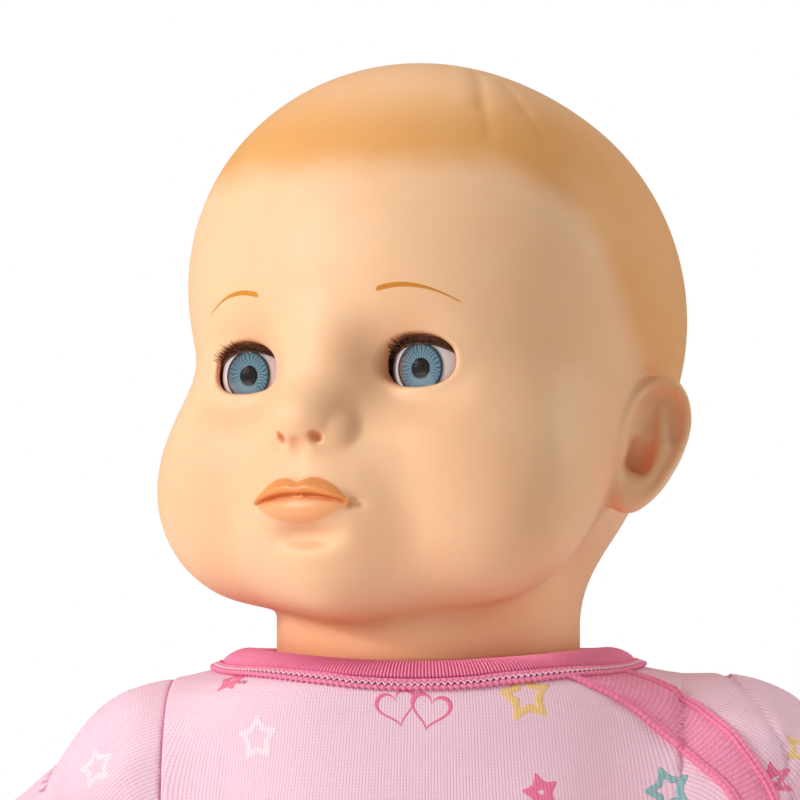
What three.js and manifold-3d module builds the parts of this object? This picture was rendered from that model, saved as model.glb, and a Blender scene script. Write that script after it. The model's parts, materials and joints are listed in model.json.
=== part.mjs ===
// Interactive baby doll, seated. Millimetres, +Z up; the doll faces -Y and its left hand is on +X.
// The origin is the centre of the seat, on the plane the doll rests on.
import * as THREE from 'three';
import { mergeVertices } from 'three/addons/utils/BufferGeometryUtils.js';
import Module from 'manifold-3d';

const wasm = await Module();
wasm.setup();

// ---- driving dimensions ----------------------------------------------------------------
// The _R names are radii.
const EYE_Z = 185; // height of the eye line above the seat
const HEAD_TURN = -26; // degrees, towards the doll's own right
const HEAD_BACK = 3.6; // head centre behind the neck axis
const HEAD_WALL = 3;
const LIMB_WALL = 2.6;

const EYE_X = 19.25; // eye centre off the head's mid plane
const EYE_FORWARD = 32.1; // eye centre forward of the head centre
const EYE_R = 9.5;
const CUP_OUTER_R = 11.5; // fixed cup behind the eyeball
const AXLE_R = 0.95;

const SHOULDER = [55, 0, 102]; // centre of the shoulder ball
const ARM_R = 17.4; // shoulder ball
const ARM_PLANE = 50.4; // x where the sleeve starts
const TORSO_SIDE = 47; // x of the flat the arm seats against
const HIP = [40, -8, 22.9]; // centre of the hip ball
const LEG_R = 20; // hip ball
const LEG_PLANE = 18.6; // x where the legging starts
const GUSSET = 15.6; // x of the flat the leg seats against
const SHOULDER_YZ = SHOULDER.slice(1);
const HIP_YZ = HIP.slice(1);

const CLOTH = 1.5; // thickness of the cloth body
const KNIT = 1.8; // thickness of the sleeper
const CLOTH_INSET = KNIT + 0.6; // outside of the cloth body, inside the sleeper's outer face
const FACET = 0.04; // tolerance when merging nearly flat facets

// ---- materials -------------------------------------------------------------------------
const standard = (settings) => new THREE.MeshStandardMaterial(settings);
const MATERIAL = {
  skin: standard({ color: 0xf2c49c, roughness: 0.55 }),
  cup: standard({ color: 0xe9e4da, roughness: 0.5 }),
  eyeWhite: standard({ color: 0xf4f1f2, roughness: 0.2 }),
  iris: standard({ color: 0x5f7f8c, roughness: 0.35 }),
  cornea: standard({ color: 0xffffff, roughness: 0.05, transparent: true, opacity: 0.2 }),
  lash: standard({ color: 0x3a2418, roughness: 0.7 }),
  steel: standard({ color: 0xa7abb0, roughness: 0.35, metalness: 1 }),
  cloth: standard({ color: 0xf1d8bf, roughness: 0.9 }),
  stuffing: standard({ color: 0xf7f6f2, roughness: 1 }),
  knit: standard({ color: 0xf3c8d8, roughness: 0.9 }),
  trim: standard({ color: 0xee7fab, roughness: 0.85 }),
  tie: standard({ color: 0xe8e8e4, roughness: 0.5 }),
  plasticCase: standard({ color: 0xdfe3e6, roughness: 0.5 }),
  board: standard({ color: 0x2f6b46, roughness: 0.5 }),
  black: standard({ color: 0x2b2b2d, roughness: 0.6 }),
  cell: standard({ color: 0x8c6a35, roughness: 0.3, metalness: 0.6 }),
  disc: standard({ color: 0xf0efe9, roughness: 0.45 }),
};

// ---- solid helpers ---------------------------------------------------------------------
const rad = (degrees) => (degrees * Math.PI) / 180;
const signedPower = (value, power) => Math.sign(value) * Math.abs(value) ** power;

// Closed three.js geometry to solid; a geometry that is inside out is turned round.
function solid(geometry) {
  const loose = geometry.index ? geometry.toNonIndexed() : geometry.clone();
  for (const key of Object.keys(loose.attributes)) {
    if (key !== 'position') loose.deleteAttribute(key);
  }
  const build = () => {
    const merged = mergeVertices(loose, 1e-4);
    return new wasm.Manifold(new wasm.Mesh({
      numProp: 3,
      vertProperties: new Float32Array(merged.attributes.position.array),
      triVerts: new Uint32Array(merged.index.array),
    }));
  };
  const built = build();
  if (built.volume() >= 0) return built;
  const p = loose.attributes.position.array;
  for (let i = 0; i < p.length; i += 9) {
    for (let k = i; k < i + 3; k++) [p[k], p[k + 3]] = [p[k + 3], p[k]];
  }
  return build();
}

function geometryOf(shape) {
  const mesh = shape.getMesh();
  const stride = mesh.numProp;
  const positions = new Float32Array(mesh.numVert * 3);
  for (let i = 0; i < mesh.numVert; i++) {
    positions.set(mesh.vertProperties.subarray(i * stride, i * stride + 3), i * 3);
  }
  const geometry = new THREE.BufferGeometry();
  geometry.setAttribute('position', new THREE.BufferAttribute(positions, 3));
  geometry.setIndex(new THREE.BufferAttribute(new Uint32Array(mesh.triVerts), 1));
  geometry.computeVertexNormals();
  return geometry;
}

function add(group, name, shape, material) {
  const mesh = new THREE.Mesh(geometryOf(shape.asOriginal().simplify(FACET)), material);
  mesh.name = name;
  group.add(mesh);
}

const union = (shapes) => shapes.reduce((sum, shape) => sum.add(shape));
const cutAll = (shape, cutters) => cutters.reduce((rest, cutter) => rest.subtract(cutter), shape);
// The biggest of the separate lumps a cut leaves.
const largest = (shape) => shape.decompose().sort((a, b) => b.volume() - a.volume())[0];

// Box from its lowest to its highest corner.
function box(low, high) {
  const geometry = new THREE.BoxGeometry(...high.map((value, i) => value - low[i]));
  geometry.translate(...high.map((value, i) => (low[i] + value) / 2));
  return solid(geometry);
}

// Cylinder along one axis; the centre holds the other two coordinates.
function cylinder(axis, radius, from, to, centre = [0, 0], segments = 16) {
  const [first, second] = centre;
  const geometry = new THREE.CylinderGeometry(radius, radius, to - from, segments);
  geometry.translate(0, (from + to) / 2, 0);
  if (axis === 'x') geometry.rotateZ(-Math.PI / 2).translate(0, first, second);
  if (axis === 'y') geometry.translate(first, 0, second);
  if (axis === 'z') geometry.rotateX(Math.PI / 2).translate(first, second, 0);
  return solid(geometry);
}

// Solid of revolution about Z from [radius, z] points that start and end on the axis, or close.
function lathe(profile, segments, { scaleY = 1, at = [0, 0, 0] } = {}) {
  const points = profile.map(([radius, z]) => new THREE.Vector2(radius, z));
  const geometry = new THREE.LatheGeometry(points, segments);
  geometry.rotateX(Math.PI / 2);
  geometry.scale(1, scaleY, 1);
  geometry.translate(...at);
  return solid(geometry);
}

// Sphere with its poles along X.
function sphere(radius, at, columns, rows) {
  const geometry = new THREE.SphereGeometry(radius, columns, rows);
  geometry.rotateZ(Math.PI / 2);
  geometry.translate(...at);
  return solid(geometry);
}

function extrude(points, depth) {
  const outline = new THREE.Shape(points.map((point) => new THREE.Vector2(...point)));
  return new THREE.ExtrudeGeometry(outline, { depth, bevelEnabled: false });
}

// Outline of [y, z] points pulled along X.
function slabX(points, from, to) {
  const geometry = extrude(points, to - from);
  geometry.applyMatrix4(new THREE.Matrix4().set(0, 0, 1, from, 1, 0, 0, 0, 0, 1, 0, 0, 0, 0, 0, 1));
  return solid(geometry);
}

// Closed loft through rings that all have the same number of points.
function loft(rings) {
  const count = rings[0].length;
  const lastRing = rings.length - 1;
  const centre = (ring) => ring.reduce((sum, point) => sum.map((v, k) => v + point[k] / count),
    [0, 0, 0]);
  const positions = [...rings.flat(), centre(rings[0]), centre(rings[lastRing])].flat();
  const startCentre = rings.length * count;
  const endCentre = startCentre + 1;
  const index = [];
  for (let i = 0; i < lastRing; i++) {
    for (let j = 0; j < count; j++) {
      const here = i * count + j;
      const next = i * count + ((j + 1) % count);
      index.push(here, next, next + count, here, next + count, here + count);
    }
  }
  for (let j = 0; j < count; j++) {
    const k = (j + 1) % count;
    const base = lastRing * count;
    index.push(startCentre, k, j, endCentre, base + j, base + k);
  }
  const geometry = new THREE.BufferGeometry();
  geometry.setAttribute('position', new THREE.BufferAttribute(new Float32Array(positions), 3));
  geometry.setIndex(index);
  return solid(geometry);
}

// Round rings along a path of [x, y, z, radius], with rounded ends if asked.
// Extra is added to every radius.
function limb(path, segments, { extra = 0, roundEnd = true, roundStart = false } = {}) {
  const points = path.map(([x, y, z]) => new THREE.Vector3(x, y, z));
  const radii = path.map((station) => station[3] + extra);
  const last = points.length - 1;
  const directions = points.map((point, i) => {
    const direction = new THREE.Vector3();
    if (i > 0) direction.add(point.clone().sub(points[i - 1]).normalize());
    if (i < last) direction.add(points[i + 1].clone().sub(point).normalize());
    return direction.normalize();
  });
  const rings = [];
  let across = new THREE.Vector3(1, 0, 0); // carried from ring to ring so the limb does not twist
  const addRing = (centre, direction, radius) => {
    across = across.clone().sub(direction.clone().multiplyScalar(across.dot(direction))).normalize();
    const up = direction.clone().cross(across);
    const ring = [];
    for (let j = 0; j < segments; j++) {
      const angle = (j / segments) * 2 * Math.PI;
      ring.push(centre.clone().addScaledVector(across, radius * Math.cos(angle))
        .addScaledVector(up, radius * Math.sin(angle)).toArray());
    }
    rings.push(ring);
  };
  // Rings of the rounded end at station i; outward is -1 at the start and 1 at the end.
  const addDome = (i, outward, latitudes) => latitudes.map(rad).forEach((latitude) => {
    const offset = outward * radii[i] * Math.sin(latitude);
    const centre = points[i].clone().addScaledVector(directions[i], offset);
    addRing(centre, directions[i], radii[i] * Math.cos(latitude));
  });
  if (roundStart) addDome(0, -1, [78, 50, 24]);
  points.forEach((point, i) => addRing(point, directions[i], radii[i]));
  if (roundEnd) addDome(last, 1, [30, 58, 80]);
  return loft(rings);
}

// Left and right: side is 1 for the doll's left (+X) and -1 for its right.
const SIDES = [['left', 1], ['right', -1]];
const both = (make) => [make(1), make(-1)];
const mirrorX = (side, near, far) => (side > 0 ? [near, far] : [-far, -near]);
const mirrorPath = (side, path) => path.map(([x, ...rest]) => [side * x, ...rest]);
const sideRod = (side, radius, near, far, centre, segments = 16) =>
  cylinder('x', radius, ...mirrorX(side, near, far), centre, segments);
const bothRods = (...sizes) => both((side) => sideRod(side, ...sizes));
// Everything further from the mid plane than x = plane.
function beyond(side, plane) {
  const [low, high] = mirrorX(side, plane, 400);
  return box([low, -400, -400], [high, 400, 400]);
}

// ---- head surface ----------------------------------------------------------------------
// Head coordinates: x to the doll's left, forward, z above the eye line.
const SKULL = [0, -4.3, 13, 48.1, 47.9, 49.4];
// 1 adds and -1 hollows; ellipsoid centre x, forward, z; radii x, forward, z; blend width.
const FEATURES = [
  [1, 0, 14.4, 21.9, 43.3, 32.3, 39, 12], // forehead
  [1, 0, 9.3, -17, 40.6, 37, 27.3, 18], // jaw
  [1, 24, 25.9, -21.8, 22.2, 19.6, 22.5, 10.8], // cheeks
  [1, 0, 40, -34.3, 11, 9.5, 11.5, 11], // chin
  [1, 0, 28.3, -30.3, 30.3, 16.3, 17.1, 7], // jaw line
  [1, 20, -12, -21, 19, 19, 15, 6], // nape
  [-1, 20.5, 52, 0.8, 14.5, 11.6, 9.8, 6], // eye sockets
  [1, 0, 41, -24, 15, 12, 12, 9], // muzzle
  [1, 0, 42.6, -3, 6.6, 6.4, 12, 9], // nose bridge
  [1, 0, 50.4, -9.4, 6.3, 5.9, 5.2, 5.5], // nose tip
  [1, 5, 48.4, -10.8, 4.1, 5, 4.5, 2], // nostril wings
  [-1, 0, 53.8, -32.2, 9, 4.4, 2.3, 3], // hollow under the lip
  [1, 0, 51.2, -23.6, 9.5, 3.8, 2.2, 1.6], // upper lip
  [1, 0, 50.6, -26.8, 8.9, 3.8, 2.7, 1.6], // lower lip
];
// Elevations in degrees of the rings of each surface.
const OUTER_ELEVATIONS = [-76, -60, -48, -40, -34, -28.5, -23.5, -18.5, -13.5, -8.5, -3.5, 2, 9,
  18, 29, 41, 54, 68, 80];
const INNER_ELEVATIONS = [-72, -52, -36, -22, -8, 8, 24, 42, 62, 78];
const HEAD_CORE = [0, 2, -4]; // point the surface is traced from
const FACE_CROWDING = 0.42; // how far the columns are drawn towards the face

function smoothMin(a, b, blend) {
  const overlap = Math.max(blend - Math.abs(a - b), 0) / blend;
  return Math.min(a, b) - (overlap * overlap * blend) / 4;
}

// Approximate distance to an ellipsoid, negative inside.
function ellipsoid(x, forward, z, radiusX, radiusF, radiusZ) {
  const scaled = Math.hypot(x / radiusX, forward / radiusF, z / radiusZ);
  const slope = Math.hypot(x / radiusX ** 2, forward / radiusF ** 2, z / radiusZ ** 2);
  if (slope < 1e-9) return -Math.min(radiusX, radiusF, radiusZ);
  return (scaled * (scaled - 1)) / slope;
}

// Approximate distance to the head, negative inside.
function headField(x, forward, z) {
  const distanceTo = ([centreX, centreF, centreZ, ...radii]) =>
    ellipsoid(Math.abs(x) - centreX, forward - centreF, z - centreZ, ...radii);
  return FEATURES.reduce((distance, [sign, ...feature]) => {
    const blend = feature[6];
    return sign * smoothMin(sign * distance, distanceTo(feature.slice(0, 6)), blend);
  }, distanceTo(SKULL));
}

// Head surface moved in by inset, traced outward from the core by bisection.
function headSolid(inset, columns, elevations) {
  const reach = (direction, distance) => HEAD_CORE.map((v, k) => v + direction[k] * distance);
  return loft(elevations.map(rad).map((elevation) => {
    const ring = [];
    for (let j = 0; j < columns; j++) {
      const turn = (2 * Math.PI * j) / columns - Math.PI;
      const azimuth = turn - FACE_CROWDING * Math.sin(turn);
      const direction = [Math.sin(azimuth) * Math.cos(elevation),
        Math.cos(azimuth) * Math.cos(elevation), Math.sin(elevation)];
      let low = 5;
      let high = 90;
      for (let k = 0; k < 30; k++) {
        const middle = (low + high) / 2;
        if (headField(...reach(direction, middle)) + inset < 0) low = middle;
        else high = middle;
      }
      const [x, forward, z] = reach(direction, low);
      ring.push([x, -forward, z]);
    }
    return ring;
  }));
}

// ---- head shell ------------------------------------------------------------------------
const NECK_R = 30.3;
const GROOVE_R = 24;
const FLANGE_R = 29;
// [radius, height above the seat]
const NECK = [[0, 112], [FLANGE_R, 112], [FLANGE_R, 115.5], [GROOVE_R, 117.5], [GROOVE_R, 126.2],
  [NECK_R, 129.4], [NECK_R, 136], [28.8, 143], [28, 156], [0, 156]];
const NECK_BORE = [[0, 100], [18, 100], [18, 122], [25, 132], [24, 158], [0, 158]];
const EAR = { radii: [4.2, 8.6, 13.6], tilt: -20, flare: 30, at: [46.2, 2.4, -12.2] };
const OPENING = { halfWidth: 7.7, halfHeight: 6.3, rise: 0.5 }; // of the eye
const EYE_SPAN = 14; // half size of the cutters round an eye, past every eye part

function ear(side) {
  const [x, y, z] = EAR.at;
  const geometry = new THREE.SphereGeometry(1, 10, 8);
  geometry.scale(...EAR.radii);
  geometry.rotateX(rad(EAR.tilt));
  geometry.rotateZ(rad(side * EAR.flare));
  geometry.translate(side * x, y, z);
  return solid(geometry);
}

function eyeOpening(side) {
  const outline = [];
  for (let i = 0; i < 16; i++) {
    const angle = ((i + 0.5) / 16) * 2 * Math.PI;
    outline.push([OPENING.halfWidth * signedPower(Math.cos(angle), 0.82),
      OPENING.rise + OPENING.halfHeight * signedPower(Math.sin(angle), 0.86)]);
  }
  const geometry = extrude(outline, 24);
  geometry.rotateX(Math.PI / 2); // outline in XZ, pulled forward
  geometry.translate(side * EYE_X, -EYE_FORWARD - 4, 0);
  return solid(geometry);
}

function headShell() {
  const neckFit = { scaleY: 0.97, at: [0, -HEAD_BACK, -EYE_Z] };
  let shell = union([headSolid(0, 28, OUTER_ELEVATIONS), lathe(NECK, 20, neckFit), ...both(ear)]);
  shell = shell.subtract(headSolid(HEAD_WALL, 14, INNER_ELEVATIONS));
  shell = shell.subtract(lathe(NECK_BORE, 12, neckFit));
  for (const side of [1, -1]) {
    const eyeX = side * EYE_X;
    const centre = [eyeX, -EYE_FORWARD, 0];
    const behind = box([eyeX - EYE_SPAN, -EYE_FORWARD - 1.4, -EYE_SPAN],
      [eyeX + EYE_SPAN, -EYE_FORWARD + EYE_SPAN, EYE_SPAN]);
    shell = cutAll(shell, [
      sphere(CUP_OUTER_R + 0.6, centre, 14, 8).intersect(behind),
      sphere(EYE_R + 0.6, centre, 16, 10),
      eyeOpening(side),
    ]);
  }
  return largest(shell);
}

// ---- sleep eyes ------------------------------------------------------------------------
// Each eye rolls about an axle along X through its own origin. Angles are elevations from
// straight ahead, in the plane across the axle.
const IRIS_R = 4.85;
const CUP_INNER_R = 10.1;
const LID_EDGE = 37; // elevation of the lid edge with the eye open
const LASH_EDGE = 31.5; // elevation of the lash strip
const LASH_X = [-2.8, -1.4, 0, 1.4, 2.8];
const WEIGHT_ANGLE = 254; // the counterweight hangs below and just behind the axle
const WEIGHT_REACH = 14.9; // weight centre from the axle

const toward = (degrees) => [-Math.cos(rad(degrees)), Math.sin(rad(degrees))]; // y, z
const eyeSphere = (radius, columns = 14, rows = 10) => sphere(radius, [0, 0, 0], columns, rows);
const axleBore = () => cylinder('x', AXLE_R + 0.3, -EYE_SPAN, EYE_SPAN, [0, 0], 8);

// Sector of a disc about the axle.
function wedge(from, to, halfWidth) {
  const points = [[0, 0]];
  for (let i = 0; i <= 4; i++) {
    points.push(toward(from + ((to - from) * i) / 4).map((value) => value * EYE_SPAN));
  }
  return slabX(points, -halfWidth, halfWidth);
}

// Square bar along the counterweight's arm, between two distances from the axle.
function armBar(from, to, half) {
  const [y, z] = toward(WEIGHT_ANGLE);
  const corner = (distance, offset) => [y * distance - z * offset, z * distance + y * offset];
  const corners = [corner(from, half), corner(from, -half), corner(to, -half), corner(to, half)];
  return slabX(corners, -half, half);
}

function eyelid() {
  const outer = eyeSphere(EYE_R).intersect(wedge(LID_EDGE, LID_EDGE + 92, 7.9));
  return largest(outer.subtract(eyeSphere(EYE_R - 0.9)));
}

function eyeball() {
  const lidRoom = wedge(LID_EDGE - 1.8, LID_EDGE + 94, 8.2).subtract(eyeSphere(EYE_R - 1.4));
  const irisRoom = cylinder('y', IRIS_R + 0.3, -12, -(EYE_R - 2.4), [0, 0], 14);
  return cutAll(eyeSphere(EYE_R), [lidRoom, irisRoom, axleBore(), armBar(4.7, 12, 1.6)]);
}

const iris = () => cylinder('y', IRIS_R, -(EYE_R - 1.3), -(EYE_R - 2.2), [0, 0], 14);

const cornea = () => eyeSphere(EYE_R, 18, 12)
  .intersect(cylinder('y', IRIS_R, -12, -(EYE_R - 1.1), [0, 0], 14))
  .subtract(wedge(LID_EDGE - 3, LID_EDGE + 30, 9));

// Sliver in the plane through the axle, just under the lid edge.
function lashes() {
  const reach = (x, radius) => Math.sqrt(radius * radius - x * x);
  const root = LASH_X.map((x) => [x, reach(x, EYE_R + 0.35)]);
  const tip = [...LASH_X].reverse().map((x) => [x, reach(x * 0.8, EYE_R + 2.7)]);
  const geometry = extrude([...root, ...tip], 0.4);
  const [y, z] = toward(LASH_EDGE);
  geometry.applyMatrix4(new THREE.Matrix4().set(1, 0, 0, 0, 0, y, -z, 0, 0, z, y, 0, 0, 0, 0, 1));
  return solid(geometry);
}

function eyeWeight() {
  const centre = toward(WEIGHT_ANGLE).map((value) => value * WEIGHT_REACH);
  return armBar(5, 14, 1.2).add(cylinder('x', 2.5, -4.5, 4.5, centre, 10));
}

// Fixed cup behind the ball, with a slot for the weight's arm to swing through.
function eyeCup() {
  const cup = eyeSphere(CUP_OUTER_R, 14, 8).subtract(eyeSphere(CUP_INNER_R, 14, 8))
    .intersect(box([-EYE_SPAN, -1, -EYE_SPAN], [EYE_SPAN, EYE_SPAN, EYE_SPAN]));
  const slot = box([-2.3, -2, -EYE_SPAN], [2.3, EYE_SPAN, 3]);
  return largest(cutAll(cup, [axleBore(), slot]));
}

function addEye(headGroup, name, side) {
  const eye = new THREE.Group();
  eye.position.set(side * EYE_X, -EYE_FORWARD, 0);
  headGroup.add(eye);
  add(eye, `eyelid_${name}`, eyelid(), MATERIAL.skin);
  add(eye, `eyeball_${name}`, eyeball(), MATERIAL.eyeWhite);
  add(eye, `iris_${name}`, iris(), MATERIAL.iris);
  add(eye, `cornea_${name}`, cornea(), MATERIAL.cornea);
  add(eye, `lashes_${name}`, lashes(), MATERIAL.lash);
  add(eye, `eye_weight_${name}`, eyeWeight(), MATERIAL.steel);
  add(eye, `eye_axle_${name}`, cylinder('x', AXLE_R, -11.7, 11.7, [0, 0], 8), MATERIAL.steel);
  add(eye, `eye_cup_${name}`, eyeCup(), MATERIAL.cup);
}

// ---- neck of the cloth body ------------------------------------------------------------
const CASING = [[24.5, 119], [25.9, 119], [25.9, 125], [24.5, 125], [24.5, 119]]; // radius, z
const TIE_R = 26.2; // inside of the tie
const TIE = [[TIE_R, 120.4], [27.8, 120.4], [27.8, 123.6], [TIE_R, 123.6], [TIE_R, 120.4]];

const neckTie = () => lathe(TIE, 20).add(box([-2.5, 27, 120], [2.5, 29, 124]))
  .subtract(cylinder('z', TIE_R, 110, 130, [0, 0], 20));

// ---- torso -----------------------------------------------------------------------------
// [height, half width, half depth, centre y]
const SECTIONS = [
  [0, 41, 26, 7], [3, 47, 31, 6], [14, 51.5, 39, 3], [34, 54, 44, 0],
  [56, 54, 46, -1], [78, 52.5, 44, -1], [98, 51, 41.5, 0], [112, 50.3, 39, 0],
  [119, 48, 37, 0], [123, 44.5, 35.6, 0], [125, 39.5, 34, 0],
];
const ROUND = 0.82; // exponent of the section outline; 1 is an ellipse, less is squarer
const POST_R = 3.2; // posts of the joint discs
const WASHER_R = 9;
const WELL_R = LEG_R + 3.6; // thigh wells of the cloth body
const STUFFING_GAP = 0.5;
// Pouch and its room in the stuffing: [radius, z], flattened in Y.
const POUCH = [[0, 6], [11.5, 6], [13.6, 8.5], [13.6, 12.5], [11.5, 15], [0, 15]];
const POUCH_ROOM = [[0, 5.4], [14.6, 5.4], [14.6, 15.6], [0, 15.6]];
const POUCH_AT = [0, 22.5, 0];
const FLANGE_ROOM = [[0, 103], [33.5, 103], [33.5, 140], [0, 140]]; // head flange and its tilt

function torso(inset, segments = 20) {
  return loft(SECTIONS.map(([z, halfWidth, halfDepth, centreY], i) => {
    let level = z;
    if (i === 0) level += inset;
    else if (i === 1) level += inset * 0.8;
    else if (i >= SECTIONS.length - 3) level -= inset;
    const ring = [];
    for (let j = 0; j < segments; j++) {
      const angle = (j / segments) * 2 * Math.PI;
      ring.push([(halfWidth - inset) * signedPower(Math.cos(angle), ROUND),
        centreY + (halfDepth - inset) * signedPower(Math.sin(angle), ROUND), level]);
    }
    return ring;
  }));
}

// Room for a thigh that turns from straight ahead to straight down.
function legWell(radius, from, to) {
  const [hipY, hipZ] = HIP_YZ;
  const outline = [];
  for (let i = 0; i <= 5; i++) {
    const angle = rad(18 * i);
    outline.push([hipY + radius * Math.cos(angle), hipZ + radius * Math.sin(angle)]);
  }
  outline.push([-90, hipZ + radius + 25], [-90, -60], [hipY + radius, -60]);
  return slabX(outline, from, to);
}
const legWells = (radius, near) => both((side) => legWell(radius, ...mirrorX(side, near, 90)));

// Shell of the stuffed torso, open at the neck and back, with holes for the limb posts.
function clothBody() {
  const outer = cutAll(torso(CLOTH_INSET), [
    ...bothRods(ARM_R + 1, TORSO_SIDE, 70, SHOULDER_YZ),
    ...legWells(WELL_R, GUSSET),
  ]);
  const inner = cutAll(torso(CLOTH_INSET + CLOTH, 14), [
    ...bothRods(ARM_R + 2.6, TORSO_SIDE - CLOTH, 70, SHOULDER_YZ),
    ...legWells(WELL_R + CLOTH, GUSSET - CLOTH),
  ]);
  return largest(cutAll(outer.subtract(inner), [
    cylinder('z', 30.3, 106, 140, [0, 0], 20), // neck
    ...bothRods(POST_R + 0.4, 40, 60, SHOULDER_YZ, 8),
    ...bothRods(POST_R + 0.4, 8, 30, HIP_YZ, 8),
    box([-15, 20, 52], [15, 60, 99]), // back
  ]));
}

function stuffing() {
  return largest(cutAll(torso(CLOTH_INSET + CLOTH + STUFFING_GAP, 14), [
    ...bothRods(ARM_R + 3, TORSO_SIDE - CLOTH - STUFFING_GAP, 70, SHOULDER_YZ),
    ...legWells(WELL_R + CLOTH + STUFFING_GAP, GUSSET - CLOTH - STUFFING_GAP),
    lathe(FLANGE_ROOM, 16),
    box([-21.6, -23, 48], [21.6, 60, 102.4]), // sound module, reached from the back
    ...bothRods(WASHER_R + 0.8, TORSO_SIDE - 6.4, 60, SHOULDER_YZ, 12),
    ...bothRods(WASHER_R + 0.8, GUSSET - 6.4, 60, HIP_YZ, 12),
    lathe(POUCH_ROOM, 14, { scaleY: 0.64 }).translate(POUCH_AT),
  ]));
}

const pelletPouch = () => lathe(POUCH, 14, { scaleY: 0.62 }).translate(POUCH_AT);

// ---- sound module ----------------------------------------------------------------------
const CASE_X = 19.5; // half width outside
const CASE_BOTTOM = 49.5;
const CASE_TOP = 101;
const CASE_FRONT = -6;
const CASE_SPLIT = 10; // y where the halves meet
const REAR_START = CASE_SPLIT + 0.3;
const CASE_BACK = 25;
const CASE_WALL = 1.8;
const PLATE_Z = 61.5; // press plate and its switch
const SPEAKER_Z = 85.6;
const CELL_X = 7.4;
const CELL_Y = 17.4;
const KNOB_Z = 62;
const DOOR_SCREW = [0, 98.4]; // x, z
const POSTS = [[16, 53], [-16, 97.5]]; // x, z of the lower and upper screw posts
const GRILLE = [[0, 0], [5.5, 0], [-5.5, 0], [0, 5.5], [0, -5.5]]; // x, z from the speaker centre
// x, y, z along the wire
const WIRE = [
  [9.5, CASE_FRONT + 11.9, 69], [10.6, CASE_FRONT + 9.6, 69.8],
  [10.2, CASE_FRONT + 8.2, 73.5], [8.6, CASE_FRONT + 8, 77],
];

const rodY = (radius, from, to, centre, segments) =>
  cylinder('y', radius, from, to, centre, segments);
const caseBlock = (from, to, wall = 0) => box([-CASE_X + wall, from, CASE_BOTTOM + wall],
  [CASE_X - wall, to, CASE_TOP - wall]);
const postRods = (radius, from, to) => POSTS.map((post) => rodY(radius, from, to, post, 8));

function frontCase() {
  const tray = caseBlock(CASE_FRONT, CASE_SPLIT)
    .subtract(caseBlock(CASE_FRONT + 2, CASE_SPLIT + 1, CASE_WALL))
    .add(union(postRods(2.6, CASE_FRONT + 1, CASE_SPLIT)));
  return cutAll(tray, [
    rodY(7, CASE_FRONT - 1, CASE_FRONT + 4, [0, PLATE_Z], 16),
    ...GRILLE.map(([x, z]) => rodY(1.3, CASE_FRONT - 1, CASE_FRONT + 4, [x, SPEAKER_Z + z], 6)),
    ...postRods(1.35, CASE_SPLIT - 10, CASE_SPLIT + 2),
  ]);
}

function rearCase() {
  const tray = caseBlock(REAR_START, CASE_BACK)
    .subtract(caseBlock(REAR_START - 1, CASE_BACK - 2, CASE_WALL))
    .add(union(postRods(2.6, REAR_START, CASE_BACK - 1)));
  return cutAll(tray, [
    box([-13.3, CASE_BACK - 3, 53.2], [13.3, CASE_BACK + 1, 96.3]), // battery opening
    ...postRods(1.35, REAR_START - 1, CASE_BACK + 1),
    box([-CASE_X - 1, CASE_SPLIT + 4.6, KNOB_Z - 3],
      [-CASE_X + 3, CASE_SPLIT + 9, KNOB_Z + 7]), // knob slot
    rodY(1.2, CASE_BACK - 4, CASE_BACK + 1, DOOR_SCREW, 8),
  ]);
}

// Drops into the rear opening; one screw holds the tongue that laps the case above it.
const batteryDoor = () => box([-13, CASE_BACK - 1.8, 53.5], [13, CASE_BACK, 96])
  .add(box([-4, CASE_BACK - 0.8, 90], [4, CASE_BACK + 1.8, 95.9]))
  .add(box([-4, CASE_BACK + 0.3, 90], [4, CASE_BACK + 1.8, 100.6]))
  .subtract(rodY(1.3, CASE_BACK - 3, CASE_BACK + 3, DOOR_SCREW, 8));

const doorScrew = () => rodY(0.9, CASE_BACK - 1.9, CASE_BACK + 2.6, DOOR_SCREW, 8)
  .add(rodY(2, CASE_BACK + 2.1, CASE_BACK + 3.3, DOOR_SCREW, 10));

const caseScrew = (post) => rodY(1.05, CASE_SPLIT - 9, CASE_BACK + 0.8, post, 8)
  .add(rodY(2.1, CASE_BACK + 0.3, CASE_BACK + 1.6, post, 10));

const circuitBoard = () => box([-12.6, CASE_FRONT + 12.6, 53.5], [12.6, CASE_FRONT + 14.2, 98.5]);

const pressSwitch = () => box([-3, CASE_FRONT + 9, PLATE_Z - 3],
  [3, CASE_FRONT + 12.3, PLATE_Z + 3]);

// Plate behind the tummy stuffing; its stem reaches the switch through the case.
const pressPlate = () => rodY(11, -19.6, -17, [0, PLATE_Z], 16)
  .add(rodY(6.5, -17.2, CASE_FRONT + 5.8, [0, PLATE_Z], 14));

const speaker = () => rodY(12.4, CASE_FRONT + 2.4, CASE_FRONT + 5.6, [0, SPEAKER_Z], 18)
  .add(rodY(7, CASE_FRONT + 5.5, CASE_FRONT + 11.4, [0, SPEAKER_Z], 14));

const battery = (x) => cylinder('z', 5.1, 51.9, 95.2, [x, CELL_Y], 12)
  .add(cylinder('z', 1.8, 95.1, 96.3, [x, CELL_Y], 8));

const batteryContact = () => box([-12, CELL_Y - 4, 96.7], [12, CELL_Y + 4, 97.3]);

const powerKnob = () => box([-CASE_X - 1.4, CASE_SPLIT + 5, KNOB_Z - 2.5],
  [-CASE_X + 2.6, CASE_SPLIT + 8.6, KNOB_Z + 2.5]);

function speakerWire() {
  const curve = new THREE.CatmullRomCurve3(WIRE.map((point) => new THREE.Vector3(...point)));
  return limb(curve.getPoints(5).map(({ x, y, z }) => [x, y, z, 0.6]), 6, { roundEnd: false });
}

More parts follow.
